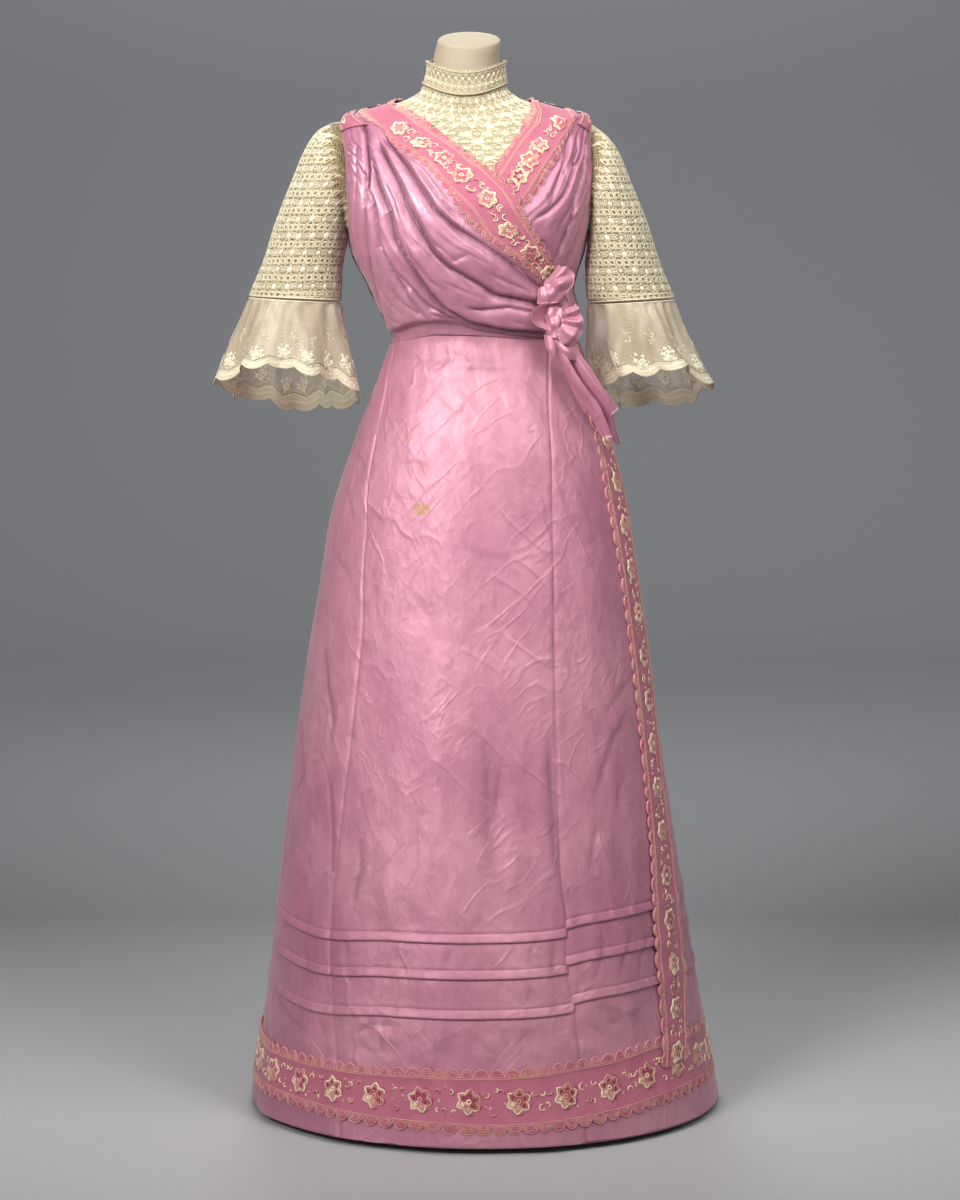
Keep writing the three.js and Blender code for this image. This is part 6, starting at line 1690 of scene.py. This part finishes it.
for i in range(60):
    ring_on(ch, col_surf, i * L_c / 60, 29.2, 1.7, 0.7, 6, 0.6, 0)
col_t = ch.build("lace_collar_thread", [M_LACE, M_LACE_WHITE])
extra(col_t)
done(col, ["collar"], held="stretched", area=min(col_area, 0.345 * 0.036))


# ------------------------------------------------------------------ bow and sash
def from_view(px, py, y):
    """a place of the front view's frame (960 wide) at depth y, in millimetres"""
    dy = (y + 4700) * 1.0
    u = (600 - py) / 3580.0
    # z from u * d = (z - 1150) cos + dy sin, with d = dy cos - (z - 1150) sin
    cs, sn = 0.99486, 0.10124
    z = (u * dy * cs - dy * sn) / (cs + u * sn)
    d = dy * cs - z * sn
    return ((px - 480) * d / 3580.0, y, z + 1150)


def patch(nets, name, seed, per=7, crease=1.1):
    """smooth cloth through given nets of (across, down, depth) points, both faces"""
    heap_co, heap_fa, total, n0 = [], [], 0.0, 0
    for kk, net in enumerate(nets):
        N = np.array([[from_view(*p) for p in row] for row in net])
        nr, nc = N.shape[:2]
        r, c = np.linspace(0, nr - 1, (nr - 1) * per + 1), np.linspace(0, nc - 1, (nc - 1) * per + 1)
        A = np.stack([np.stack([curve(np.arange(nr), N[:, j, k])(r) for j in range(nc)], 1) for k in range(3)], -1)
        P = np.stack([np.stack([curve(np.arange(nc), A[i, :, k])(c) for i in range(len(r))], 0) for k in range(3)], -1)
        P[1:-1] = (P[:-2] + 6 * P[1:-1] + P[2:]) / 8
        gu, gv = np.gradient(P, axis=1), np.gradient(P, axis=0)
        n = np.cross(gu, gv)
        n /= np.maximum(np.linalg.norm(n, axis=-1, keepdims=True), 1e-6)
        C, R = np.meshgrid(c, r)
        h = crease * (noise(C * 10, R * 5, (7, 16), seed + kk) + 0.5 * noise(C * 10, R * 8, (3.5, 12), seed + kk + 40))
        P = P + n * h[..., None]
        B = P - n * 0.6
        nj, ni = P.shape[:2]
        M = nj * ni
        fa = grid_faces(nj, ni, False, n0).tolist() + [(a, d, c_, b) for a, b, c_, d in grid_faces(nj, ni, False, n0 + M).tolist()]
        ringi = [j * ni for j in range(nj)] + [(nj - 1) * ni + i for i in range(1, ni)] + [j * ni + ni - 1 for j in range(nj - 2, -1, -1)] + list(range(ni - 2, 0, -1))
        for q in range(len(ringi)):
            a, b = ringi[q] + n0, ringi[(q + 1) % len(ringi)] + n0
            fa.append((b, a, a + M, b + M))
        heap_co += [P.reshape(-1, 3), B.reshape(-1, 3)]
        heap_fa += fa
        n0 += 2 * M
        total += surf_area(P)
    return mesh_object(name, np.concatenate(heap_co), heap_fa, [M_BOW]), total


BOW_NETS = {
    "bow_upper": [
        [[(545, 302, -110), (549, 303, -116), (555, 303, -117), (561, 300, -110)],
         [(543.5, 292, -112), (550, 294, -124), (559, 293, -117), (568, 291, -115)],
         [(544, 283, -111), (551, 285, -117), (562, 283, -127), (574, 283, -111)],
         [(551, 275, -109), (557, 276, -121), (566, 275, -114), (574.5, 275, -110)],
         [(559, 265, -105), (562, 267, -112), (567, 267, -114), (571, 270, -103)],
         [(561, 269, -99), (564, 272, -98), (566, 274, -97), (569, 277, -97)]],
        [[(537.5, 304, -112), (543, 303.5, -118), (549, 302, -117), (552, 301, -112)],
         [(537.5, 296, -112), (542, 296, -120), (547, 295, -120), (551, 294, -112)],
         [(538.5, 288, -110), (541, 287, -116), (544, 286, -116), (547, 286, -110)]],
        [[(540, 286, -104), (548, 282, -106), (556, 279, -104)], [(541, 296, -104), (553, 297, -104), (566, 297, -102)],
         [(548, 303, -103), (557, 306, -103), (568, 303, -101)], [(556, 311, -104), (561, 314, -104), (567, 313, -101)]]],
    "bow_loop_right": [
        [[(554, 303, -116), (554, 304.5, -111), (555, 307, -105)], [(545, 303, -121), (547, 306, -115), (551, 309, -106)],
         [(537, 306.5, -125), (541, 309, -117), (547, 312, -107)], [(532, 313, -127), (537, 314.5, -119), (544, 316, -107)],
         [(531.5, 320, -127), (537, 320, -119), (543, 320, -107)], [(536, 325.5, -124), (540, 324.5, -117), (545, 323.5, -107)],
         [(543, 329, -119), (545, 327, -113), (548, 326, -106)], [(549, 331.5, -115), (550, 329.5, -110), (551, 328, -105)]]],
    "bow_loop_left": [
        [[(559, 314, -116), (566, 310, -122), (571, 307, -123), (575.5, 303.5, -114)],
         [(560, 317, -118), (567, 313.5, -127), (573, 311.5, -131), (579, 308.5, -124)],
         [(561, 319, -118), (568, 317.5, -122), (575, 317, -123), (580, 313, -117)],
         [(561.5, 321, -119), (569, 321, -128), (577, 322, -132), (583, 321, -126)],
         [(561.5, 323.5, -119), (569, 326, -123), (576, 328, -124), (582, 330, -117)],
         [(561, 326, -118), (566, 331, -127), (572, 335, -130), (578, 338, -122)],
         [(559.5, 328, -117), (563, 335, -121), (567, 340, -122), (573, 346, -113)],
         [(557, 330, -115), (558, 337, -117), (561, 343, -117), (565, 349, -109)]],
        [[(566, 313, -108), (572, 308, -108), (577, 306, -108)], [(566, 321, -105), (574, 320, -103), (582, 319, -106)],
         [(564, 329, -105), (571, 333, -102), (579, 334, -104)], [(560, 334, -107), (566, 341, -105), (572, 346, -106)]]],
    "bow_knot": [
        [[(547, 308, -108), (550, 307, -114), (556, 306, -117), (562, 308, -114), (565, 311, -107)],
         [(545.5, 315, -109), (549, 315, -118), (555, 316, -115), (561, 317, -119), (565.5, 318, -109)],
         [(546, 323, -109), (549, 323, -115), (554, 324, -120), (560, 325, -115), (565, 326, -109)],
         [(545.5, 330, -109), (549, 330, -117), (554, 331, -114), (559, 331, -117), (564, 332, -109)],
         [(546, 336, -107), (549, 336.5, -113), (554, 338, -116), (559, 338, -112), (563, 338, -107)]]],
    "sash_tail_small": [
        [[(545, 334, -108), (549, 335, -115), (554, 337, -112)], [(545.5, 341, -110), (550, 343, -118), (555, 344, -114)],
         [(547, 348, -112), (551, 350, -119), (555.5, 351, -115)], [(549.5, 352, -113), (553, 355, -118), (556, 357, -115)]]],
    "sash_tail_front": [
        [[(554, 338, -111), (559, 341, -116), (567, 347, -119), (574, 346, -111)],
         [(557, 345, -111), (562, 349, -119), (569, 352, -120), (576, 354, -110)],
         [(559, 353, -110), (564, 356, -116), (570, 359, -116), (577, 361, -107)]],
        [[(557, 350, -112), (561, 351, -117), (566, 353, -119)], [(563, 362, -111), (567, 363, -118), (572, 365, -119)],
         [(568, 375, -110), (573, 376, -118), (579, 377, -119)], [(575, 389, -108), (581, 390, -117), (588, 390, -118)],
         [(586, 407, -105), (592, 405, -114), (599, 404, -116)], [(594, 423, -102), (600, 420, -112), (606, 420, -114)],
         [(602, 437, -99), (607, 437.5, -108), (612.5, 437, -109)]],
        [[(563, 364, -103), (567, 366, -106), (571, 368, -104)], [(567, 377, -102), (572, 381, -105), (577, 384, -103)],
         [(574, 393, -100), (580, 399, -103), (586, 403, -101)], [(582, 407, -97), (586, 413, -99), (590, 417, -97)]]],
    "sash_tail_back": [
        [[(564, 350, -106), (570, 348, -110), (575.5, 346, -104)], [(570, 361, -104), (576, 358, -109), (582, 356, -102)],
         [(578, 377, -102), (585, 371, -108), (591, 369, -99)], [(588, 392, -99), (595, 386, -105), (601, 385, -96)],
         [(599, 408, -95), (606, 400, -101), (610, 397, -92)], [(607, 423, -91), (612, 415, -96), (617.5, 409, -88)]],
        [[(600, 412, -86), (606, 411, -88), (611, 409, -86)], [(606, 424, -84), (611, 424, -86), (614, 420, -84)],
         [(611, 436, -82), (614, 437, -83), (617, 434, -82)], [(618, 444, -81), (619.3, 446, -81), (620, 444, -81)]]],
}
for node, nets in BOW_NETS.items():
    o, area = patch(nets, "silk_" + node, 200 + 7 * len(node))
    w = math.sqrt(area / 1.9)
    done(o, [node], held="hung" if "tail" in node else "folded",
         area=area)


# ------------------------------------------------------------------ form and stand
HIP = table("z cx cy ax bf bb dip", [
    (700, 0, 4, 60, 48, 56, 0), (703, 0, 4, 110, 84, 100, 0), (716, 0, 3, 142, 108, 126, 0), (745, -1, 2, 158, 119, 138, 0),
    (800, -1, 1, 165, 124, 142, 0), (870, 0, 0, 153, 118, 132, 0), (930, 2, 0, 134, 106, 108, 0), (985, 4, 0, 116, 92, 84, 0)])
NECK = table("z cx cy ax bf bb dip", [
    (1362, -18, -8, 44, 43, 43, 12), (1382, -17, -8.5, 42.5, 42, 42, 12), (1396, -14.8, -9, 41.3, 41.3, 41.3, 11.2),
    (1400, -14.5, -9, 41, 41, 41, 11), (1402.6, -14.1, -9, 40, 40, 40, 11), (1404, -14, -9, 38, 38, 38, 11)])
FORM_V = [(1017, 8), (1060, 11), (1110, 10), (1150, 9), (1190, 8.5), (1230, 8.5), (1268, 9), (1292, 9), (1306, 9), (1318, 8.5), (1331, 8), (1342, 8), (1354, 7.5)]
NF = 96
t = -math.pi + 2 * math.pi * np.arange(NF) / NF
rings = []


def form_rings(T, m):
    q = np.arange(len(T["z"]), dtype=float)
    g = {c: curve(q, T[c])(np.linspace(0, len(q) - 1, m)) for c in T}
    s, c = np.sin(t), np.cos(t)
    return [np.stack([g["cx"][i] + g["ax"][i] * s, g["cy"][i] - np.where(c > 0, g["bf"][i], g["bb"][i]) * c, g["z"][i] - g["dip"][i] * c], -1) for i in range(m)]


rings += form_rings(HIP, 18)
fv = np.array(FORM_V, float)
vv = np.linspace(1017, 1354, 42)
gap = curve(fv[:, 0], fv[:, 1])
rings += [S(t / RAD, v_, -gap(v_)) for v_ in vv]
rings += form_rings(NECK, 26)
top = rings[-1].mean(0)
for k, z in ((0.8, 0.5), (0.5, 0.9), (0.2, 1.1)):
    r = top + (rings[-1] - top) * 1.0
    rings.append(top + (form_rings(NECK, 26)[-1] - top) * k + np.array([0, 0, z]))
bot = rings[0].mean(0)
P = np.stack(rings)
co = np.concatenate([P.reshape(-1, 3), [bot], [top + (0, 0, 1.2)]])
fa = grid_faces(P.shape[0], NF, True).tolist()
N = P.shape[0] * NF
fa += [(N, (i + 1) % NF, i) for i in range(NF)]
fa += [(N + 1, N - NF + i, N - NF + (i + 1) % NF) for i in range(NF)]
form = mesh_object("form_cover", co, fa, [M_FORM])
done(form, ["form_torso"])


def lathe(name, profile, n, mat):
    t = 2 * math.pi * np.arange(n) / n
    P = np.stack([np.stack([r * np.cos(t), r * np.sin(t), z + 0 * t], -1) for r, z in profile])
    fa = grid_faces(len(profile), n, True).tolist()
    m = len(profile) * n
    co = np.concatenate([P.reshape(-1, 3), [(0, 0, profile[0][1])], [(0, 0, profile[-1][1])]])
    fa += [(m, (i + 1) % n, i) for i in range(n)] + [(m + 1, m - n + i, m - n + (i + 1) % n) for i in range(n)]
    o = mesh_object(name, co, fa, [mat])
    return o


pole = lathe("stand_pole", [(17, 22.3), (17, 60), (17, 660), (17, 699.6)], 48, M_METAL)
base = lathe("stand_base", [(204.4, 0), (205, 0.8), (205, 11), (203.5, 14.5), (197, 19), (120, 20.6), (40, 21.6), (31, 22)], 96, M_METAL)
for o, node in ((pole, "form_pole"), (base, "form_base")):
    for p_ in o.data.polygons:
        if abs(p_.normal.z) > 0.95:
            p_.use_smooth = False
    done(o, [node])

# ------------------------------------------------------------------ stage, light, camera
def plane(name, x0, x1, y0, y1, mat, cove=None):
    rows = [(y0, 0.0)]
    n = 24
    r = 1.6
    for k in range(n + 1):
        a = k / n * math.pi / 2
        rows.append((y1 - r + r * math.sin(a), r - r * math.cos(a)))
    rows.append((y1, 6.5))
    co, fa = [], []
    for y, z in rows:
        co += [(x0, y, z), (x1, y, z)]
    for k in range(len(rows) - 1):
        fa.append((2 * k, 2 * k + 1, 2 * k + 3, 2 * k + 2))
    me = bpy.data.meshes.new(name)
    me.from_pydata(co, [], fa)
    me.materials.append(mat)
    me.polygons.foreach_set("use_smooth", np.full(len(me.polygons), True))
    o = bpy.data.objects.new(name, me)
    bpy.context.scene.collection.objects.link(o)
    return o


m = Mat("studio_paper", 0.95, spec=0.15)
sep = m.node("ShaderNodeSeparateXYZ")
m.link(m.co, sep.inputs[0])
# painted shade: the paper grows darker toward the back, standing in for the unlit backdrop
up = m.math("MULTIPLY", m.math("ADD", sep.outputs[1], 0.1), 0.72, clamp=True)
m.colour(m.mix(up, srgb("#B2B2B6"), srgb("#797A7D")))
plane("studio", -8, 8, -8, 6.6, m.m)


def area_light(name, loc, target, size, power, colour=(1, 1, 1)):
    d = bpy.data.lights.new(name, "AREA")
    d.shape = "RECTANGLE"
    d.size, d.size_y = size
    d.energy = power
    d.color = colour
    o = bpy.data.objects.new(name, d)
    bpy.context.scene.collection.objects.link(o)
    o.location = loc
    from mathutils import Vector
    o.rotation_euler = (Vector(target) - Vector(loc)).to_track_quat("-Z", "Y").to_euler()
    return o


def focus(o, degrees):
    o.data.spread = math.radians(degrees)


focus(area_light("key", (-1.9, -3.0, 2.9), (-0.14, 0, 1.24), (1.6, 1.6), 15.8, (1.0, 0.985, 0.965)), 44)
focus(area_light("second", (1.9, -2.7, 3.1), (0.08, 0, 1.24), (1.5, 1.5), 8.0, (1.0, 0.985, 0.97)), 55)
area_light("left_side", (-2.9, -2.0, 1.5), (0, 0, 0.8), (0.8, 2.2), 8, (1.0, 0.99, 0.98))
area_light("right_side", (2.9, -2.0, 1.5), (0, 0, 0.8), (0.8, 2.2), 4, (1.0, 0.99, 0.98))
area_light("top", (0.2, -0.7, 3.6), (0, -0.1, 0.9), (1.8, 1.6), 36, (1.0, 0.99, 0.975))
area_light("back_wash", (0.0, 3.4, 3.7), (0, 6.6, 1.9), (6.0, 1.2), 185)
area_light("behind", (-0.2, 2.9, 2.5), (0, 0, 0.9), (1.0, 1.6), 46)
w = bpy.data.worlds.new("studio_air")
w.use_nodes = True
w.node_tree.nodes["Background"].inputs[0].default_value = (0.66, 0.655, 0.65, 1)
w.node_tree.nodes["Background"].inputs[1].default_value = 0.24
bpy.context.scene.world = w

cam = bpy.data.cameras.new("camera")
cam.sensor_fit = "AUTO"
cam.sensor_width = 36
cam.lens = 107.4
cam.clip_end = 60
co_ = bpy.data.objects.new("camera", cam)
bpy.context.scene.collection.objects.link(co_)
co_.location = (0, -4.7, 1.15)
co_.rotation_euler = (math.radians(90 - 5.81), 0, 0)
bpy.context.scene.camera = co_
bpy.context.scene.view_settings.view_transform = "Standard"
